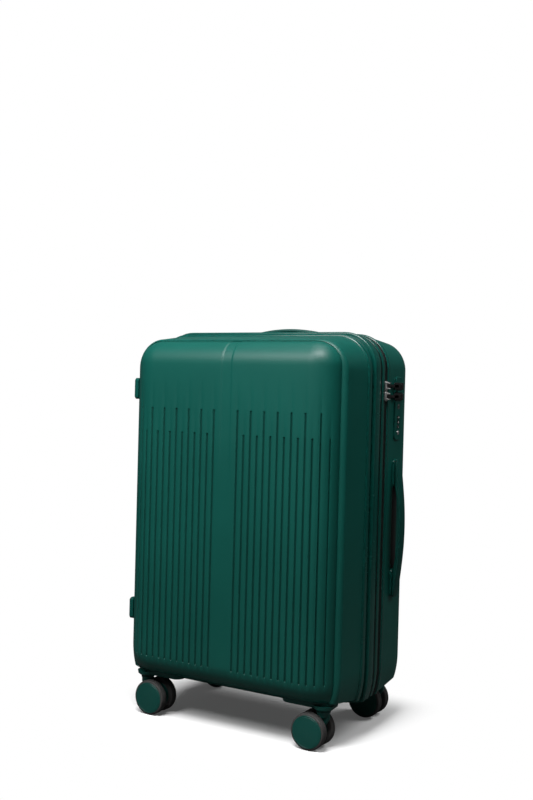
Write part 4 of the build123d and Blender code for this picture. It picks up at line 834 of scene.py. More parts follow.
make_zip_half("expansion_zip_front", "front_half", 1, 0.0)
make_zip_half("expansion_zip_back", "lid_frame", -1, 0.5)
make_zip_half("main_zip_front", "lid_frame", 1, 0.0)
make_zip_half("main_zip_back", "back_half", -1, 0.5)

# %% [markdown]
# ## Carry handles
#
# Each handle is a soft arched grip on two legs, which slide up out of collars on the shell. A bent curve
# with a bevel would keep one section from end to end. The real grip is thin and flat at its ends and thick
# in the middle, so it is built from sections whose top and underside each follow their own arch.

# %% Arched grips
HANDLE_HALF_W, HANDLE_THICK, HANDLE_TIP = 10.5, 6.5, 3.0
HANDLE_LEG, HANDLE_STOP, LEG_CORNER = np.array([4.5, 6.5]), np.array([6.5, 8.5]), 1.5
STOP_HEIGHT, LEG_REACH, LEG_RISE, LEG_INSET = 3.0, 16.0, 2.0, 15.0
MOUNT_HEIGHT, MOUNT_GAP, MOUNT_HALF_W, MOUNT_CORNER = 4.0, 0.3, 11.0, 6.0
MOUNT_ROLL, MOUNT_BASE, MOUNT_MARGIN = 1.4, -2.0, 0.5
LEG_SLOT, SLOT_CORNER = HANDLE_LEG + 0.3, 1.6
SECTION_POWER, END_POWER, SECTIONS, SECTION_POINTS, LAST_SECTION = 2 / 3.4, 9.0, 57, 36, 0.9995


def soft_power(value, power):
    """Signed power: keeps the sign of value and raises its size."""
    return np.sign(value) * np.abs(value) ** power


def grip_rings(half, rise, end):
    """Sections along s in (-1, 1): outer arch tip + (rise - tip)(1 - s^2), inner arch in the middle only."""
    s = LAST_SECTION * np.sin(np.linspace(-1, 1, SECTIONS) * math.pi / 2)[:, None]
    base = MOUNT_HEIGHT + MOUNT_GAP
    outer = base + HANDLE_TIP + (rise - base - HANDLE_TIP) * (1 - s * s)
    inner = base + (rise - HANDLE_THICK - base) * np.clip(1 - (s * half / (half - end)) ** 2, 0, 1)
    width = HANDLE_HALF_W * (1 - np.abs(s) ** END_POWER) ** (1 / END_POWER)
    turn = np.linspace(0, 2 * math.pi, SECTION_POINTS, endpoint=False)
    across = width * soft_power(np.cos(turn), SECTION_POWER)
    height = (outer + inner) / 2 + (outer - inner) / 2 * soft_power(np.sin(turn), SECTION_POWER)
    return np.stack([np.broadcast_to(s * half, across.shape), across, height], axis=-1)


def make_handle(name, half, rise, end, seat, axes, pad):
    """Grip, legs and stops of one handle, and the two collars of half-length pad that the legs slide in."""
    outside = block_layers((pad, MOUNT_HALF_W), MOUNT_CORNER, MOUNT_HEIGHT, MOUNT_ROLL, base=MOUNT_BASE)
    inside = [(rounded(LEG_SLOT, SLOT_CORNER), height) for height in (MOUNT_HEIGHT, MOUNT_BASE)]
    moving = [tube(seat + grip_rings(half, rise, end) @ np.array(axes))]
    collars = []
    for side in (-1, 1):
        leg = seat + side * (half - LEG_INSET) * axes[0]
        for outline, heights in ((HANDLE_LEG, (-LEG_REACH, MOUNT_HEIGHT + LEG_RISE)),
                                 (HANDLE_STOP, (-LEG_REACH - STOP_HEIGHT, -LEG_REACH))):
            moving.append(tube(stack([(rounded(outline, LEG_CORNER), h) for h in heights], leg, axes)))
        shift = np.array([side * (LEG_INSET - pad - MOUNT_MARGIN), 0.0])
        collars.append(hoop(stack([(outline + shift, h) for outline, h in outside] + inside, leg, axes)))
    make_piece(name + "_grip", moving, name, GRIP_PLASTIC, [name])
    make_piece(name + "_collars", collars, "back_half", GREEN_PLASTIC, [name + "_mounts"])


def mount_seat(node, up):
    """Middle of a pair of collars at the height where they sit on the shell."""
    low, high = span(node)
    return (low + high) / 2 * (1 - up) + (high - MOUNT_HEIGHT) * up


TOP_SEAT, SIDE_SEAT = mount_seat("top_handle_mounts", Z), mount_seat("side_handle_mounts", X)
TOP_PAD, TOP_END, SIDE_PAD, SIDE_END, SIDE_AXES = 13.5, 20.0, 23.5, 49.0, (Z, Y, X)
TOP_HALF, TOP_RISE = span("top_handle")[1][0], span("top_handle")[1][2] - TOP_SEAT[2]
SIDE_HALF = (span("side_handle")[1] - span("side_handle")[0])[2] / 2
SIDE_RISE = span("side_handle")[1][0] - SIDE_SEAT[0]
BED_GAP, BED_MARGIN, BED_BASE, BED_FORM = 1.0, 1.5, -1.5, (3.0, 0.9, 0.4)
BED_HALF = (SIDE_HALF - 2 * SIDE_PAD - BED_GAP, MOUNT_HALF_W - BED_MARGIN)
make_handle("top_handle", TOP_HALF, TOP_RISE, TOP_END, TOP_SEAT, UP_AXES, TOP_PAD)
# The black strip under the side grip is partly a black part and partly painted shade for the dark gap between
# grip and shell.
bed = block(BED_HALF, *BED_FORM, SIDE_SEAT, SIDE_AXES, base=BED_BASE)
make_piece("side_handle_bed", [bed], "back_half", BLACK_PLASTIC)
make_handle("side_handle", SIDE_HALF, SIDE_RISE, SIDE_END, SIDE_SEAT, SIDE_AXES, SIDE_PAD)

# %% [markdown]
# ## Trolley
#
# The pull-out handle rests in a cup let into the top, with a scoop for the fingers. The cup could be cut
# with a boolean. It is one run of rings instead: up the outside, over a rolled lip, down past the scoop, and
# across the floor, so the lip stays soft and the cup is closed by itself.

# %% Cup and scoop
TOP_SLOPE = 8.0 / 78.6
GRIP_LOW, GRIP_HIGH = span("trolley_grip")
TROLLEY_MID = (GRIP_LOW + GRIP_HIGH) / 2
SLANT = (X, Y - TOP_SLOPE * Z, Z)
GRIP_HALF, GRIP_CORNER = (GRIP_HIGH - GRIP_LOW)[:2] / 2, 7.5
CUP_TOP = TOP_SEAT[2] - TOP_SLOPE * (TROLLEY_MID[1] - TOP_SEAT[1])
CUP_WALL, CUP_GAP, CUP_ROLL, CUP_SEAT = 3.0, 1.0, 1.6, -1.0
CUP_FLOOR = BEZEL_LOW[2] + CUP_WALL - CUP_TOP
CUP_PLACE = np.array([0.0, TROLLEY_MID[1], CUP_TOP])
SCOOP_HALF, SCOOP_REACH, SCOOP_FLOOR = 38.0, 7.0, -15.0
SCOOP_EDGE = ((1.2, 1.6), (0.35, 1.2), (0.0, 0.2))


def scooped(outline):
    """Outline with its front side pushed out over the middle: reach (1 - (x / half)^4), for the fingers."""
    bulge = SCOOP_REACH * np.clip(1 - (outline[:, 0] / SCOOP_HALF) ** 4, 0, 1) * (outline[:, 1] < 0)
    return outline - bulge[:, None] * np.array([0.0, 1.0])


def cup_outline(half, corner, grow):
    """Fine rounded rectangle that is larger by grow all round."""
    return rounded(half + grow, corner + grow, 8, 40)


def cup_rings():
    """Rings of the cup: outside, lip rolled over, opening, scoop and floor."""
    opening = cup_outline(GRIP_HALF, GRIP_CORNER, CUP_GAP)
    outer = [(0.0, CUP_FLOOR - CUP_WALL), (0.0, CUP_SEAT), (BEZEL_LIP, CUP_SEAT)]
    outer += [(BEZEL_LIP - inset, height) for inset, height in upper_roll(CUP_ROLL, CUP_ROLL)]
    shift = np.array([0.0, BEZEL_MID[1] - TROLLEY_MID[1]])
    layers = [(cup_outline(cup_half, BEZEL_CORNER, grow) + shift, height) for grow, height in outer]
    layers += [(scooped(cup_outline(GRIP_HALF, GRIP_CORNER, CUP_GAP + grow)), h) for grow, h in SCOOP_EDGE]
    layers += [(scooped(opening), SCOOP_FLOOR), (opening, SCOOP_FLOOR), (opening, CUP_FLOOR)]
    return stack(layers, CUP_PLACE, SLANT)


make_piece("trolley_cup", [tube(cup_rings())], "back_half", GREEN_PLASTIC, ["trolley_bezel"])

# %% [markdown]
# The grip, its release button and the end caps of the tubes are rounded blocks: a stack of the same outline,
# with a parting line round the grip where its two halves meet and a pocket for the button.

# %% Grip, button and tube caps
BUTTON_LOW, BUTTON_HIGH = span("trolley_button")
BUTTON_HALF = (BUTTON_HIGH - BUTTON_LOW)[:2] / 2
BUTTON_GAP, BUTTON_HEIGHT, BUTTON_ROLL, BUTTON_SUNK = 0.3, 3.6, 1.2, 1.6
GRIP_BOTTOM, GRIP_TOP, POCKET_FLOOR = GRIP_LOW[2] - CUP_TOP, 1.0, -4.6
GRIP_FOOT_ROLL, GRIP_TOP_ROLL = 1.6, 2.2
PARTING_LINE = [(0.0, -8.6), (0.5, -8.2), (0.5, -7.6), (0.0, -7.2)]
TUBE_SPREAD, TUBE_CORNER, TUBE_PLAY = 72.0, 3.0, 0.15
END_CAP_OUTSIDE, END_CAP_INSIDE = [(0.0, -0.6), (0.0, 0.8), (0.4, 1.2)], [(0.0, 1.2), (0.0, -0.6)]


def grip_block():
    """Rings of the grip: soft bottom edge, parting line, rolled top edge and the button's pocket."""
    edges = lower_roll(GRIP_FOOT_ROLL, GRIP_BOTTOM) + PARTING_LINE + upper_roll(GRIP_TOP_ROLL, GRIP_TOP)
    pocket = rounded(BUTTON_HALF + BUTTON_GAP, BUTTON_HALF[1] + BUTTON_GAP, 8, 6)
    layers = inset_layers(GRIP_HALF, GRIP_CORNER, edges, 8, 6)
    return stack(layers + [(pocket, GRIP_TOP), (pocket, POCKET_FLOOR)], CUP_PLACE, SLANT)


def tube_half(node):
    """Half-width and half-depth of one of a pair of tubes."""
    low, high = span(node)
    return np.array([high[0] - TUBE_SPREAD, (high - low)[1] / 2])


make_piece("trolley_grip_block", [tube(grip_block())], "trolley_stage_2", BLACK_PLASTIC,
           ["trolley_grip"])
button_place = CUP_PLACE - BUTTON_SUNK * Z
release = block(BUTTON_HALF, BUTTON_HALF[1], BUTTON_HEIGHT, BUTTON_ROLL, button_place, SLANT, 8)
make_piece("release_button", [release], "trolley_button", GREEN_PLASTIC, ["trolley_button"])
cap_layers = inset_layers(tube_half("trolley_middle_tubes"), TUBE_CORNER, END_CAP_OUTSIDE)
cap_layers += inset_layers(tube_half("trolley_inner_tubes") + TUBE_PLAY, TUBE_CORNER, END_CAP_INSIDE)
tube_top = np.array([0.0, TROLLEY_MID[1], span("trolley_middle_tubes")[1][2]])
caps = [hoop(stack(cap_layers, tube_top + side * TUBE_SPREAD * X, UP_AXES)) for side in (-1, 1)]
make_piece("tube_end_caps", caps, "trolley_stage_1", BLACK_PLASTIC)

# %% [markdown]
# ## Lock
#
# Three number drums stand behind windows in the lock. A drum has ten flats with a number painted on each.
# The numbers start as Blender text, which is made a mesh and then laid on the flats: x along the drum's
# surface, y up, and z along the flat's normal.

# %% Number drums
DIAL_R, DIAL_SIDES, DIAL_EDGE = 8.0, 10, 0.5
DIGIT_SIZE, DIGIT_PAINT_DEPTH = 4.6, 0.06
FLAT_REACH = DIAL_R * math.cos(math.pi / DIAL_SIDES)


def mesh_array(items, label, width, kind):
    """One property of a mesh's points, corners or faces as an array."""
    values = np.empty(len(items) * width, dtype=kind)
    items.foreach_get(label, values)
    return values


def digit_points(text):
    """Points (in mm, centred) and faces of a number as a thin mesh, read back from a text object."""
    curve = bpy.data.curves.new("digit", "FONT")
    curve.body, curve.size, curve.extrude, curve.resolution_u = text, DIGIT_SIZE, DIGIT_PAINT_DEPTH, 4
    source = bpy.data.objects.new("digit", curve)
    bpy.context.scene.collection.objects.link(source)
    mesh = bpy.data.meshes.new_from_object(source.evaluated_get(bpy.context.evaluated_depsgraph_get()))
    bpy.data.objects.remove(source)
    points = mesh_array(mesh.vertices, "co", 3, float).reshape(-1, 3)
    points[:, :2] -= (points[:, :2].min(axis=0) + points[:, :2].max(axis=0)) / 2
    corners = mesh_array(mesh.loops, "vertex_index", 1, int)
    sizes = mesh_array(mesh.polygons, "loop_total", 1, int)
    starts = np.concatenate([[0], np.cumsum(sizes)[:-1]])
    return points, [corners[starts[sizes == size][:, None] + np.arange(size)] for size in np.unique(sizes)]


def on_flat(shape, number, centre):
    """A number laid on one flat: tangent x + up y + normal (reach + z), the normal turned 36 degrees each."""
    turn = 2 * math.pi * number / DIAL_SIDES
    normal = np.array([math.cos(turn), math.sin(turn), 0.0])
    tangent = np.array([-math.sin(turn), math.cos(turn), 0.0])
    points, faces = shape
    placed = points[:, :1] * tangent + points[:, 1:2] * Z + (FLAT_REACH + points[:, 2:]) * normal
    return centre + placed, faces


DIGITS = [digit_points(str(number)) for number in range(DIAL_SIDES)]
corner_turn = (np.arange(DIAL_SIDES) + 0.5) * 2 * math.pi / DIAL_SIDES
DECAGON = np.stack([np.cos(corner_turn), np.sin(corner_turn)], axis=-1)
for dial in (1, 2, 3):
    node = f"lock_dial_{dial}"
    low, high = span(node)
    centre, half = (low + high) / 2, (high - low)[2] / 2
    drum = [(DIAL_R - DIAL_EDGE, -half), (DIAL_R, DIAL_EDGE - half), (DIAL_R, half - DIAL_EDGE),
            (DIAL_R - DIAL_EDGE, half)]
    rings = stack([(DECAGON * radius, height) for radius, height in drum], centre, UP_AXES)
    numbers = [on_flat(shape, number, centre) for number, shape in enumerate(DIGITS)]
    make_piece(f"dial_{dial}_drum", [tube(rings)], node, DIAL_BLACK, [node])
    make_piece(f"dial_{dial}_numbers", numbers, node, DIGIT_PAINT)

# %% [markdown]
# A slider is a cast base with two ears and a pin, and its pull tab is a thin plate that lies in the lock.
# Bevelled cubes would need a boolean for the eye. So the plate is an outline stacked with a small edge roll,
# and its eye is a hoop round the pin. The push button of the lock is a small spun profile with a dished
# top. In these cells a form is the corner, height and roll of a block.

# %% Sliders and pull tabs
TAB_HALF_W, TAB_NECK, TAB_THICK, TAB_BLADE, TAB_CORNER, TAB_ROLL = 6.0, 3.3, 1.8, 38.0, 3.0, 0.6
NECK_CORNER, NECK_ROLL, NECK_START = 0.6, 0.5, 2.0
EYE_R, EYE_EDGE, EYE_GAP = 2.8, 0.4, 0.1
PIN_R, PIN_HALF, EAR_HALF, EAR_SPREAD, EAR_CORNER, EAR_ROLL = 1.2, 5.4, (3.0, 1.0), 4.6, 0.6, 0.9
BASE_FORM, BRIDGE_HALF, BRIDGE_FORM = (3.0, 2.2, 0.9), (2.6, 7.2), (2.0, 3.2, 1.0)
RIB_HALF, RIB_FORM, RIB_SUNK, RIB_FIRST, RIB_STEP = (0.7, 4.0), (0.6, 0.5, 0.3), 0.1, 6.0, 3.0


def plate(half, corner, thick, roll, place):
    """Thin plate facing right with both faces' edges rolled by a quarter turn."""
    edges = lower_roll(roll, 0.0, 4) + upper_roll(roll, thick, 4)
    return tube(stack(inset_layers(half, corner, edges), place, RIGHT_AXES))


def eye_profile():
    """Closed (radius, height) profile of the tab's eye, with both outer edges cut."""
    half, bore = TAB_NECK - EYE_GAP, PIN_R + EYE_GAP
    upper = [(EYE_R, half - EYE_EDGE), (EYE_R - EYE_EDGE, half), (bore, half)]
    return [(radius, -height) for radius, height in upper[::-1]] + upper


def make_slider(place):
    """Base, bridge, ears and pin of one slider."""
    node = f"zip_slider_{place}"
    low, high = span(node)
    foot = np.array([low[0], *((low + high) / 2)[1:]])
    pin_place = np.array([span(f"pull_tab_{place}")[0][0] + EYE_R, foot[1], foot[2]])
    shapes = [block((high - low)[1:] / 2, *BASE_FORM, foot, RIGHT_AXES),
              block(BRIDGE_HALF, *BRIDGE_FORM, foot, RIGHT_AXES),
              tube(spun_rings([(PIN_R, -PIN_HALF), (PIN_R, PIN_HALF)], pin_place, UP_AXES, 16))]
    for side in (-1, 1):
        ear_place = foot + side * EAR_SPREAD * Z
        shapes.append(block(EAR_HALF, EAR_CORNER, high[0] - low[0], EAR_ROLL, ear_place, RIGHT_AXES))
    make_piece(f"slider_{place}", shapes, node, GUNMETAL, [node])
    return pin_place


def make_tab(place, pin_place):
    """Blade, neck, eye and finger ribs of one pull tab."""
    node = f"pull_tab_{place}"
    low, high = span(node)
    root = np.array([low[0], high[1] - TAB_BLADE / 2, pin_place[2]])
    neck_half = (root[1] - pin_place[1]) / 2 - NECK_START
    neck_place = np.array([low[0], pin_place[1] + NECK_START + neck_half, pin_place[2]])
    rib_place = root + (TAB_THICK - RIB_SUNK) * X + RIB_FIRST * Y
    shapes = [plate((TAB_BLADE / 2, TAB_HALF_W), TAB_CORNER, TAB_THICK, TAB_ROLL, root),
              plate((neck_half, TAB_NECK - NECK_CORNER), NECK_CORNER, TAB_THICK, NECK_ROLL, neck_place),
              hoop(spun_rings(eye_profile(), pin_place, UP_AXES, 24))]
    shapes += [block(RIB_HALF, *RIB_FORM, rib_place + rib * RIB_STEP * Y, RIGHT_AXES) for rib in range(3)]
    make_piece(f"tab_{place}", shapes, node, TAB_BLACK, [node])


for place in ("upper", "lower"):
    make_tab(place, make_slider(place))
low, high = span("lock_button")
push_place, push_r = np.array([low[0], *((low + high) / 2)[1:]]), (high - low)[1] / 2
push = [(push_r, 0.0), (push_r, 3.3), (push_r - 0.25, 3.75), (push_r - 0.8, 4.0), (1.6, 3.7), (0.02, 3.6)]
make_piece("lock_push", [tube(spun_rings(push, push_place, RIGHT_AXES, 32))], "lock_button",
           GUNMETAL, ["lock_button"])

# %% [markdown]
# ## Casters
#
# Each caster is a pair of wheels on one axle, a leg between them, and a swivel under a plate. A wheel is a
# spun profile: a rounded tyre with a thin tread line, and a flat cap that covers almost its whole face.
# Cylinders with bevels would do, but one profile also holds the tread line, the cap's groove and its low
# dome.

# %% Wheels
CORNERS = ("front_left", "front_right", "back_left", "back_right")
WHEEL_R, WHEEL_HALF, TYRE_BORE, TYRE_SHOULDER, WHEEL_STEPS = 29.5, 7.25, 22.0, 3.0, 72
CAP_R, CAP_PROUD = 26.0, 0.75
CAP_FACE = WHEEL_HALF + CAP_PROUD
WHEEL_AXES = (X, -Z, Y)
TREAD_LINE = [(WHEEL_R, -0.8), (WHEEL_R - 0.5, -0.45), (WHEEL_R - 0.5, 0.45), (WHEEL_R, 0.8)]
CAP_BACK = [(3.2, -WHEEL_HALF - 0.2), (21.0, -WHEEL_HALF - 0.2), (TYRE_BORE, -WHEEL_HALF + 0.6),
            (TYRE_BORE, WHEEL_HALF - 0.5), (CAP_R - 0.3, WHEEL_HALF - 0.5), (CAP_R, WHEEL_HALF - 0.1)]
CAP_GROOVE = [(CAP_R, CAP_FACE - 0.5), (CAP_R - 0.5, CAP_FACE), (CAP_R - 1.7, CAP_FACE + 0.05),
              (CAP_R - 2.0, CAP_FACE - 0.2), (CAP_R - 2.5, CAP_FACE - 0.2), (CAP_R - 2.8, CAP_FACE + 0.1)]
CAP_DOME = [(16.0, CAP_FACE + 0.35), (7.0, CAP_FACE + 0.55), (0.02, CAP_FACE + 0.6)]


def tyre_profile():
    """Closed (radius, width) profile: two rounded shoulders and a shallow line in the tread."""
    right = [(WHEEL_R - inset, width) for inset, width in upper_roll(TYRE_SHOULDER, WHEEL_HALF, 6)]
    right.append((TYRE_BORE, WHEEL_HALF))
    return [(radius, -width) for radius, width in right[::-1]] + TREAD_LINE + right


def make_wheels(corner):
    """Tyres and caps of one caster, both wheels on the body that rolls."""
    low, high = span(f"{corner}_tyres")
    reach = (high - low)[1] / 2 - WHEEL_HALF
    tyres, caps = [], []
    for facing in (-1, 1):
        centre = (low + high) / 2 + facing * reach * Y
        cap = [(radius, facing * width) for radius, width in CAP_BACK + CAP_GROOVE + CAP_DOME]
        tyres.append(hoop(spun_rings(tyre_profile(), centre, WHEEL_AXES, WHEEL_STEPS)))
        caps.append(tube(spun_rings(cap, centre, WHEEL_AXES, WHEEL_STEPS)))
    body = f"{corner}_wheels"
    make_piece(f"{corner}_tread", tyres, body, TYRE, [f"{corner}_tyres"])
    make_piece(f"{corner}_caps", caps, body, CASTER_GREEN, [f"{corner}_wheel_hubs"])


for corner in CORNERS:
    make_wheels(corner)

# %% [markdown]
# The leg runs from the swivel down to the axle. A bevelled curve would keep one section; here soft ovals grow
# a little towards the top and close in half rounds. It turns under a plate, a block whose lower edge is
# rolled, with a cone and a black ring round the swivel.

# %% Legs and swivels
LEG_TOP_Z, LEG_TOP_R, LEG_FOOT_R, LEG_DEPTH = 52.2, 11.0, 10.5, 5.5
LEG_FOOT_SHIFT, LEG_END_R = np.array([6.0, 0.0, 3.0]), 0.05
LEG_RINGS, END_RINGS, OVAL_STEPS = 9, 6, 40
OVAL_SIDE_POWER, OVAL_DEEP_POWER = 0.75, 0.55
BOSS_R, PLATE_BOTTOM = 13.0, 63.5
PLATE_HALF, PLATE_MID, PLATE_CORNER = np.array([46.0, 20.0]), np.array([145.0, 94.0]), 15.0
PLATE_RISE, PLATE_ROLL, PLATE_LIFT = 15.0, 3.0, 2.2
BOSS = [(9.5, 53.0), (10.0, 56.0), (11.2, 59.5), (11.6, 61.6), (11.2, 62.2), (5.0, 62.2), (5.0, 86.0)]
CONE = [(18.0, 8.0), (17.0, 3.0), (14.0, 0.6), (13.4, 0.1), (6.0, 0.1), (6.0, 8.0)]
SWIVEL_RING = [(6.2, -0.9), (11.8, -0.9), (12.3, -0.5), (12.3, 0.2), (6.2, 0.2)]


def oval_rings(path, radii, half_depth):
    """Soft ovals along a straight path in the XZ plane: place + r across + depth y, rounded by a power."""
    along = path[-1] - path[0]
    across = np.array([along[2], 0.0, -along[0]]) / np.linalg.norm(along)
    turn = np.linspace(0, 2 * math.pi, OVAL_STEPS, endpoint=False)[:, None]
    side = soft_power(np.cos(turn), OVAL_SIDE_POWER) * across * radii[:, None, None]
    deep = soft_power(np.sin(turn), OVAL_DEEP_POWER) * Y * half_depth
    return path[:, None] + side + deep


def make_leg(corner):
    """Leg from swivel to axle with round ends, a tapered boss and a stem; returns where it swivels."""
    low, high = span(f"{corner}_fork")
    wheel_low, wheel_high = span(f"{corner}_tyres")
    axle = (wheel_low + wheel_high) / 2
    outer = 1.0 if axle[0] > 0 else -1.0
    stem = np.array([high[0] - BOSS_R if outer > 0 else low[0] + BOSS_R, axle[1], LEG_TOP_Z])
    foot = axle + LEG_FOOT_SHIFT * np.array([outer, 1.0, 1.0])
    away = (stem - foot) / np.linalg.norm(stem - foot)
    share = np.linspace(0, 1, LEG_RINGS)
    foot_turn = np.linspace(-math.pi / 2, 0, END_RINGS)[:-1]
    head_turn = np.linspace(0, math.pi / 2, END_RINGS)[1:]
    path = np.concatenate([foot + LEG_FOOT_R * np.sin(foot_turn)[:, None] * away,
                           foot + share[:, None] * (stem - foot),
                           stem + LEG_TOP_R * np.sin(head_turn)[:, None] * away])
    radii = np.concatenate([LEG_FOOT_R * np.cos(foot_turn) + LEG_END_R,
                            LEG_FOOT_R + (LEG_TOP_R - LEG_FOOT_R) * share,
                            LEG_TOP_R * np.cos(head_turn) + LEG_END_R])
    swivel = np.array([stem[0], stem[1], 0.0])
    shapes = [tube(oval_rings(path, radii, LEG_DEPTH)), tube(spun_rings(BOSS, swivel, UP_AXES, 48))]
    make_piece(f"{corner}_leg", shapes, f"{corner}_caster", CASTER_GREEN,
               [f"{corner}_fork"])
    return swivel


def make_plates(facing, toward):
    """Two plates under one half, edges rolled at the bottom, a cone down to each swivel and black rings."""
    body = f"{facing}_half"
    seats = [make_leg(f"{facing}_{side}") + PLATE_BOTTOM * Z for side in ("left", "right")]
    base = np.array([0.0, toward * PLATE_MID[1], PLATE_BOTTOM + PLATE_LIFT + PLATE_RISE])
    blocks = [block(PLATE_HALF, PLATE_CORNER, PLATE_RISE, PLATE_ROLL, base + side * PLATE_MID[0] * X,
                    (X, -Y, -Z), 8) for side in (-1, 1)]
    cones, rings = ([hoop(spun_rings(profile, seat, UP_AXES, 48)) for seat in seats]
                    for profile in (CONE, SWIVEL_RING))
    make_piece(f"{facing}_plate_blocks", blocks + cones, body, CASTER_GREEN,
               [f"{facing}_caster_plates"])
    make_piece(f"{facing}_swivel_rings", rings, body, BLACK_PLASTIC)


make_plates("front", -1)
make_plates("back", 1)

# %% [markdown]
# ## CAD pieces that keep their shape
#
# The tubes, the lock's housing and key barrel, the side feet, the axles and the trolley's foot are already
# right in the CAD model, so they only take a finish. They could be copied and remodelled, but a copy would
# add nothing to see.

# %% Finishes of CAD pieces
def dress(material, *nodes):
    """Puts a material in every slot of CAD nodes."""
    for node in nodes:
        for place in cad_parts[node].material_slots:
            place.material = material
    print(material.name, len(nodes))


dress(GREEN_PLASTIC, "lock_housing", "front_side_feet", "back_side_feet")
dress(STEEL, "key_cylinder", *[f"{corner}_axle" for corner in CORNERS])
dress(TUBE_METAL, "trolley_outer_tubes", "trolley_middle_tubes", "trolley_inner_tubes")
dress(BLACK_PLASTIC, "trolley_foot")

# %% [markdown]
# ## Lining, straps and pocket
#
# Inside, each half is lined with thin cloth sewn to the rim: a flange, four walls and a floor. A cloth
# simulation could hang it, but a lining is glued and barely moves. So the sheet is a run of rings with small
# folds pressed outwards along each wall, and the way back one cloth thickness further out closes it.

# %% Linings
CLOTH = 1.0
FLANGE_HALF, FLANGE_CORNER = np.array([206.0, 299.0]), 52.0
BAG_HALF, BAG_CORNER, BAG_DROP = np.array([186.0, 260.0]), 41.0, 3.0
MOUTH_GROW, FLOOR_CORNER, FLOOR_SHARE, WALL_START, WALL_LEVELS = 3.0, 8.0, 0.3, 0.04, 12
FOLD_DEPTH, CLOTH_STEPS, CLOTH_ALONG = 1.3, 8, 24


def outline_normals(outline):
    """Unit directions out of a closed outline: its slope turned by a right angle."""
    slope = np.roll(outline, -1, axis=0) - np.roll(outline, 1, axis=0)
    slope /= np.linalg.norm(slope, axis=1, keepdims=True)
    return np.stack([slope[:, 1], -slope[:, 0]], axis=-1)


def wall_folds(count, share):
    """Fold depth round a wall: depth (0.5 + 0.3 sin a + 0.2 sin b) sin(pi share), a and b at odd rates."""
    turn = np.linspace(0, 2 * math.pi, count, endpoint=False)
    uneven = 0.5 + 0.3 * np.sin(23 * turn + 2 * share) + 0.2 * np.sin(41 * turn + 1.3 - 3 * share)
    return FOLD_DEPTH * uneven * math.sin(math.pi * share)


def bag_outline(half, corner):
    """Fine rounded rectangle of the bag, which hangs a little lower than the rim."""
    return rounded(half, corner, CLOTH_STEPS, CLOTH_ALONG) - (0, BAG_DROP)


def lining_side(depth, bevel, out):
    """Rings of one face of a lining, from flange to floor, moved out by one cloth thickness or not."""
    mouth = MOUTH_GROW + out
    layers = [(rounded(FLANGE_HALF, FLANGE_CORNER, CLOTH_STEPS, CLOTH_ALONG, LOW_ROUND), out),
              (bag_outline(BAG_HALF + mouth, BAG_CORNER + mouth), out)]
    wall = bag_outline(BAG_HALF + out, BAG_CORNER + out)
    for share in np.linspace(WALL_START, 1, WALL_LEVELS):
        folds = outline_normals(wall) * wall_folds(len(wall), share)[:, None]
        layers.append((wall + folds, out + share * (depth - bevel)))
    for inset, level in upper_roll(bevel, depth)[1:]:
        corner = max(BAG_CORNER - inset + out, FLOOR_CORNER)
        layers.append((bag_outline(BAG_HALF - inset + out, corner), out + level))
    return layers + [(bag_outline(BAG_HALF * FLOOR_SHARE, FLOOR_CORNER), out + depth)]


def cloth_area(piece):
    """Area of one face of a closed sheet in square metres: half of all its faces."""
    return float(mesh_array(piece.data.polygons, "area", 1, float).sum() / 2)


def make_lining(node, body, toward, bevel):
    """One lining as a closed sheet: the inner face from floor to flange, and the outer face back down."""
    low, high = span(node)
    mouth, depth = (low[1] if toward > 0 else high[1]), high[1] - low[1] - CLOTH
    layers = lining_side(depth, bevel, 0.0)[::-1] + lining_side(depth, bevel, CLOTH)
    rings = stack(layers, (0.0, mouth, MID_Z), (X, Z, toward * Y))
    piece = make_piece(node + "_cloth", [tube(rings)], body, LINING, [node])
    cloth_area(piece)


make_lining("back_lining", "back_half", 1.0, 12.0)
make_lining("front_lining", "front_half", -1.0, 30.0)

# %% [markdown]
# Two webbing straps cross on the floor of the back half and meet in a buckle. The upper strap climbs over
# the lower one where they cross. A flat plane with a thickness would lose that climb and the woven edges, so
# each strap is a band whose depth follows its own line, with a rib along both edges.

# %% Straps and buckle
STRAP_HALF, STRAP_WALL, STRAP_LENGTH, STRAP_TURN = 12.5, 1.2, 520.0, math.radians(56.0)
STRAP_FLOOR, STRAP_STEPS, CLIMB_REACH, CLIMB = span("packing_straps")[1][1], 81, 40.0, 1.4
STRAP_MIDDLE = np.array([0.0, 0.0, MID_Z - BAG_DROP])
STRAP_ACROSS = STRAP_HALF * np.array([-1, -0.9, -0.78, 0.78, 0.9, 1, 1, 0.9, 0.78, -0.78, -0.9, -1])
STRAP_HEIGHT = STRAP_WALL * np.array([0.15, 0, 0, 0, 0, 0.15, 0.85, 1, 0.72, 0.72, 1, 0.85])
BUCKLE_FORM, BAR_HALF, BAR_FORM, BAR_STEP, BAR_BASE = (8.0, 6.0, 1.6), (12.0, 6.0), (4.0, 2.5, 1.0), 12.0, 5.5


def strap_rings(turn, climb):
    """Sections along a strap: thin, ribbed at both edges, and lifted by climb exp(-(s / reach)^2)."""
    along = np.linspace(-0.5, 0.5, STRAP_STEPS) * STRAP_LENGTH
    lift = climb * np.exp(-((along / CLIMB_REACH) ** 2))
    direction = np.array([math.cos(turn), 0, math.sin(turn)])
    side = np.array([-math.sin(turn), 0, math.cos(turn)])
    base = STRAP_MIDDLE + STRAP_FLOOR * Y + along[:, None, None] * direction
    return base + STRAP_ACROSS[:, None] * side - (lift[:, None, None] + STRAP_HEIGHT[:, None]) * Y


def make_strap(name, turn, climb, replaced):
    """One strap, made as a laid band of webbing."""
    piece = make_piece(name, [tube(strap_rings(turn, climb))], "back_half", WEBBING, replaced)


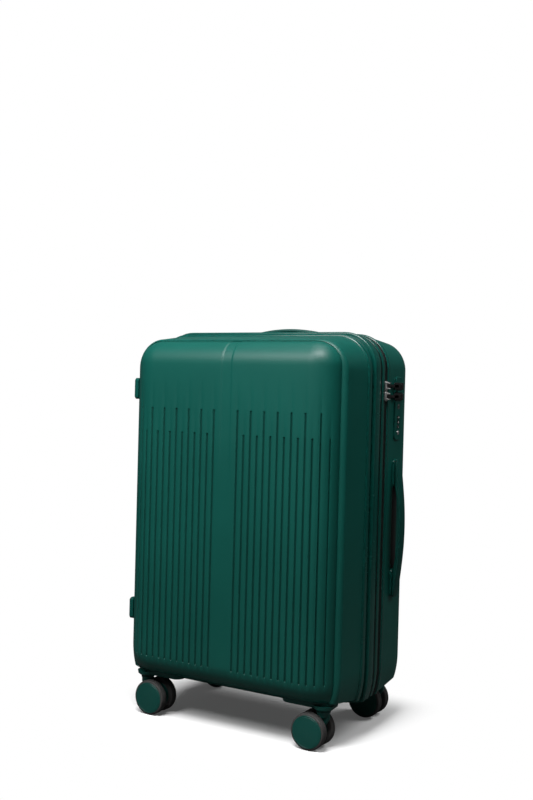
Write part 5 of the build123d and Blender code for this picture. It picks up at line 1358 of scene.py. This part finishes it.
make_strap("strap_under", STRAP_TURN, 0.0, ["packing_straps"])
make_strap("strap_over", -STRAP_TURN, CLIMB, [])
BUCKLE_LOW, BUCKLE_HIGH = span("strap_buckle")
BUCKLE_HALF = (BUCKLE_HIGH - BUCKLE_LOW)[[0, 2]] / 2
buckle_place, front_axes = np.array([0.0, BUCKLE_HIGH[1], STRAP_MIDDLE[2]]), (X, Z, -Y)
buckle = [block(BUCKLE_HALF, *BUCKLE_FORM, buckle_place, front_axes, 8)]
for step in (-1, 0, 1):
    bar_place = buckle_place + step * BAR_STEP * Z - BAR_BASE * Y
    buckle.append(block(BAR_HALF, *BAR_FORM, bar_place, front_axes, 8))
make_piece("buckle_block", buckle, "back_half", BLACK_PLASTIC, ["strap_buckle"])

# %% [markdown]
# The front half has a net pocket. Thousands of modelled threads would be heavy, so the net is one thin sheet
# that bulges a little and whose material is clear between its threads; a sewn hem goes round it.

# %% Net pocket
NET_WALL, NET_BULGE, NET_LIFT, NET_CORNER, NET_START, NET_RINGS = 0.6, 3.0, 0.2, 4.0, 0.05, 14
NET_THREADS, NET_WOBBLE, NET_CUT, DYE_THREADS = 110.0, 0.3, (0.66, 0.74), 2200.0
HEM_IN, HEM_OUT = -5.0, 1.0
NET_LOW, NET_HIGH = span("mesh_pocket")
NET_HALF, NET_FLOOR = (NET_HIGH - NET_LOW)[[0, 2]] / 2, NET_LOW[1]


def net_material(name, colour):
    """Net: two crossed waves keep the threads and clear the holes, and the threads have an uneven dye."""
    material = woven(name, colour, threads=DYE_THREADS)
    tree = material.node_tree
    place = add_node(tree, "TexCoord").outputs["Object"]
    kept = ranged(tree, crossed_waves(tree, place, NET_THREADS, NET_WOBBLE, 0.0), *NET_CUT)
    fill(tree, tree.nodes["Principled BSDF"], {"Alpha": kept})
    return material


def net_outline(half):
    """Rectangle with small round corners and many points along its sides."""
    return rounded(half, NET_CORNER, 4, 30)


def net_rings():
    """Rings of the net from its middle out and back one thickness on: lift bulge (1 - u^2)(1 - v^2)."""
    shares = np.linspace(NET_START, 1, NET_RINGS)
    outline = net_outline(NET_HALF)
    u, v = outline[:, 0] / NET_HALF[0], outline[:, 1] / NET_HALF[1]
    lift = np.stack([NET_BULGE * (1 - (share * u) ** 2) * (1 - (share * v) ** 2) for share in shares])
    flat = shares[:, None, None] * outline
    face = np.stack([flat[..., 0], NET_FLOOR + NET_LIFT + lift, flat[..., 1] + STRAP_MIDDLE[2]], axis=-1)
    return np.concatenate([face, face[::-1] + NET_WALL * Y])


NET = net_material("pocket_net", (0.016, 0.022, 0.021))
net = make_piece("pocket_net", [tube(net_rings())], "front_half", NET, ["mesh_pocket"])
hem_profile = [(HEM_IN, 0.1), (HEM_OUT, 0.1), (HEM_OUT, 1.3), (HEM_IN, 1.5)]
hem_rings = stack([(net_outline(NET_HALF + grow), height) for grow, height in hem_profile],
                  (0.0, NET_FLOOR, STRAP_MIDDLE[2]), BACK_AXES)
hem = make_piece("pocket_hem", [hoop(hem_rings)], "front_half", WEBBING)

# %% [markdown]
# ## Gusset and hinge tape
#
# When the expansion zip is opened, a folded cloth strip lets the front half move out. A flat band would tear
# or stretch there. Its profile is a wave, long enough to span the gap, carried round the rim. The cloth tape
# that hinges the lid is a bowed line, thickened and stacked up.

# %% Gusset and hinge tape
GUSSET_WALL, GUSSET_MIDDLE, GUSSET_SWING, GUSSET_FOLDS = 0.2, -12.7, 6.0, 2
GUSSET_LOW, GUSSET_HIGH = span("expansion_gusset")
TAPE_LOW, TAPE_HIGH = span("hinge_tape")
TAPE_WALL, TAPE_BELLY, TAPE_LEVELS, LINE_POINTS = 0.3, 6.5, 21, 49


def thickened(line, wall):
    """Closed outline round an open line: the line moved by wall along its normal, out and then back."""
    slope = np.gradient(line, axis=0)
    slope /= np.linalg.norm(slope, axis=1, keepdims=True)
    normal = np.stack([slope[:, 1], -slope[:, 0]], axis=-1)
    return np.concatenate([line + wall * normal, (line - wall * normal)[::-1]])


def line_length(line):
    """Length of an open line of points."""
    return float(np.linalg.norm(np.diff(line, axis=0), axis=1).sum())


share = np.linspace(0, 1, LINE_POINTS)
gusset_line = np.stack([GUSSET_MIDDLE + GUSSET_SWING * np.cos(2 * math.pi * GUSSET_FOLDS * share),
                        GUSSET_LOW[1] + (GUSSET_HIGH - GUSSET_LOW)[1] * share], axis=-1)
gusset = make_piece("gusset_cloth", [rim_ring(thickened(gusset_line, GUSSET_WALL))], None, LINING,
                    ["expansion_gusset"])
gusset_width = line_length(gusset_line) * UNIT
cloth_area(gusset) / gusset_width
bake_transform(gusset)
tape_line = np.stack([TAPE_LOW[0] + TAPE_WALL + TAPE_BELLY * np.sin(math.pi * share) ** 2,
                      TAPE_LOW[1] + (TAPE_HIGH - TAPE_LOW)[1] * share], axis=-1)
tape_outline = thickened(tape_line, TAPE_WALL)
tape_rings = stack([(tape_outline, level) for level in np.linspace(TAPE_LOW[2], TAPE_HIGH[2], TAPE_LEVELS)],
                   np.zeros(3), UP_AXES)
tape = make_piece("hinge_cloth", [tube(tape_rings)], None, LINING, ["hinge_tape"])
line_length(tape_line) * UNIT
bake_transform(tape)

# %% [markdown]
# ## Floor and light
#
# The photograph has a white ground with a soft shadow under the case. A floor lit hard enough to look white
# would also flood the case with light. So the floor is matte and adds some light of its own for the camera
# only: enough to reach white where no shadow falls. A hand's breadth away from the case that light is all of
# it, which hides the line where the floor meets the background. Other rays see a darker floor, so that it
# does not light the case from below.

# %% Floor
FLOOR_SIZE, FLOOR_TONE, BOUNCE_TONE, MIRROR_TONE = 6.0, 0.86, 0.14, 0.07
FLOOR_GLOW, FADE_START, FADE_END = 0.06, 0.0, 0.11
FOOTPRINT = (0.19, 0.14, 0.0)


def vectors(tree, operation, *terms, result="Vector"):
    """Result of a vector maths node whose terms are vectors or sockets."""
    return add_node(tree, "VectorMath", dict(enumerate(terms)), operation=operation).outputs[result]


def floor_material():
    """Matte near the case, with white emission for camera rays, and all emission far from it."""
    material = bpy.data.materials.new("floor")
    material.use_nodes = True
    tree = material.node_tree
    tree.nodes.clear()
    path = add_node(tree, "LightPath").outputs
    place = add_node(tree, "TexCoord").outputs["Object"]
    beyond = vectors(tree, "SUBTRACT", vectors(tree, "ABSOLUTE", place), FOOTPRINT)
    away = vectors(tree, "LENGTH", vectors(tree, "MAXIMUM", beyond, (0.0, 0.0, 0.0)), result="Value")
    far = ranged(tree, away, FADE_START, FADE_END, interpolation_type="SMOOTHSTEP")
    mirrored = ranged(tree, path["Is Glossy Ray"], to_low=BOUNCE_TONE, to_high=MIRROR_TONE)
    tone = ranged(tree, path["Is Camera Ray"], to_low=mirrored, to_high=FLOOR_TONE)
    matte = add_node(tree, "BsdfDiffuse", {"Color": tone})
    shine = maths(tree, "MULTIPLY", path["Is Camera Ray"], FLOOR_GLOW)
    glow = add_node(tree, "Emission", {"Strength": shine})
    white = add_node(tree, "Emission", {"Strength": 1.0})
    near = add_node(tree, "AddShader", {0: matte.outputs[0], 1: glow.outputs[0]})
    share = maths(tree, "MULTIPLY", far, path["Is Camera Ray"])
    mixed = add_node(tree, "MixShader", {0: share, 1: near.outputs[0], 2: white.outputs[0]})
    add_node(tree, "OutputMaterial", {"Surface": mixed.outputs[0]})
    return material


corners = FLOOR_SIZE * np.array([[-1, -1, 0], [1, -1, 0], [1, 1, 0], [-1, 1, 0]], float)
floor_mesh = bpy.data.meshes.new("floor")
floor_mesh.from_pydata(corners.tolist(), [], [(0, 1, 2, 3)])
floor_mesh.materials.append(floor_material())
floor = bpy.data.objects.new("floor", floor_mesh)
bpy.context.scene.collection.objects.link(floor)
floor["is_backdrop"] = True
print("floor tone", FLOOR_TONE)

# %% [markdown]
# The world lights the case with an even grey and is white where the camera sees it; a bare reflection towards
# the backdrop beyond the case sees it a little brighter than the grey. A picture of a studio could light it
# as well, but four soft lamps are easier to move: a key from the front, high and a little to the right, a
# lower one from the front left that gives the panel its sheen, a broad one above, and a fill from behind on
# the right. The fill only softens the dark side, so it is kept out of reflections.

# %% World and lamps
WORLD_GREY, MIRROR_WHITE = 0.055, 0.08
BACKDROP_WAY, BACKDROP_EDGE = (-0.51, 0.86, 0.0), (0.75, 0.95)


def stage_world():
    """Grey light all round; white for camera and transmitted rays, and a little brighter for glossy rays to
    the backdrop.
    """
    world = bpy.data.worlds.new("studio")
    bpy.context.scene.world = world
    world.use_nodes = True
    tree = world.node_tree
    tree.nodes.clear()
    path = add_node(tree, "LightPath").outputs
    way = add_node(tree, "TexCoord").outputs["Generated"]
    facing = vectors(tree, "DOT_PRODUCT", way, BACKDROP_WAY, result="Value")
    behind = ranged(tree, facing, *BACKDROP_EDGE, interpolation_type="SMOOTHSTEP")
    mirrored = maths(tree, "MULTIPLY", path["Is Glossy Ray"], MIRROR_WHITE)
    seen = maths(tree, "MAXIMUM", path["Is Camera Ray"], path["Is Transmission Ray"])
    either = maths(tree, "MAXIMUM", seen, maths(tree, "MULTIPLY", behind, mirrored))
    strength = ranged(tree, either, to_low=WORLD_GREY, to_high=1.0)
    light = add_node(tree, "Background", {"Color": (1, 1, 1, 1), "Strength": strength})
    add_node(tree, "OutputWorld", {"Surface": light.outputs[0]})


def softbox(name, place, aim, size, power):
    """Square area lamp of a given size at a place, turned to look at aim."""
    data = bpy.data.lights.new(name, "AREA")
    data.shape, data.size, data.size_y, data.energy = "RECTANGLE", size, size, power
    lamp = bpy.data.objects.new(name, data)
    bpy.context.scene.collection.objects.link(lamp)
    place, aim = np.array(place), np.array(aim)
    back = (place - aim) / np.linalg.norm(place - aim)
    side = np.cross(Z, back)
    side /= np.linalg.norm(side)
    matrix = np.eye(4)
    matrix[:3] = np.stack([side, np.cross(back, side), back, place], axis=1)
    lamp.matrix_world = matrix.T.tolist()
    return lamp


stage_world()
softbox("key", (0.26, -0.8, 1.65), (0.0, -0.1, 0.4), 0.6, 31)
softbox("front", (-0.35, -1.1, 1.4), (0.0, -0.1, 0.5), 0.6, 16)
softbox("top", (0.0, -0.1, 2.0), (0.0, 0.0, 0.4), 0.9, 8)
fill_lamp = softbox("side", (1.15, 1.0, 1.5), (0.0, 0.0, 0.35), 0.8, 17)
fill_lamp.visible_glossy = False
print("lamps", [lamp.name for lamp in bpy.data.lights])

# %% [markdown]
# ## Size and finish
#
# The CAD box and the box of everything now visible are kept side by side.

# %% Finish
low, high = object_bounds()
{"cad": [list(cad_low), list(cad_high)], "visual": [list(low), list(high)]}
print("visual box", [round(v, 4) for v in low], [round(v, 4) for v in high])
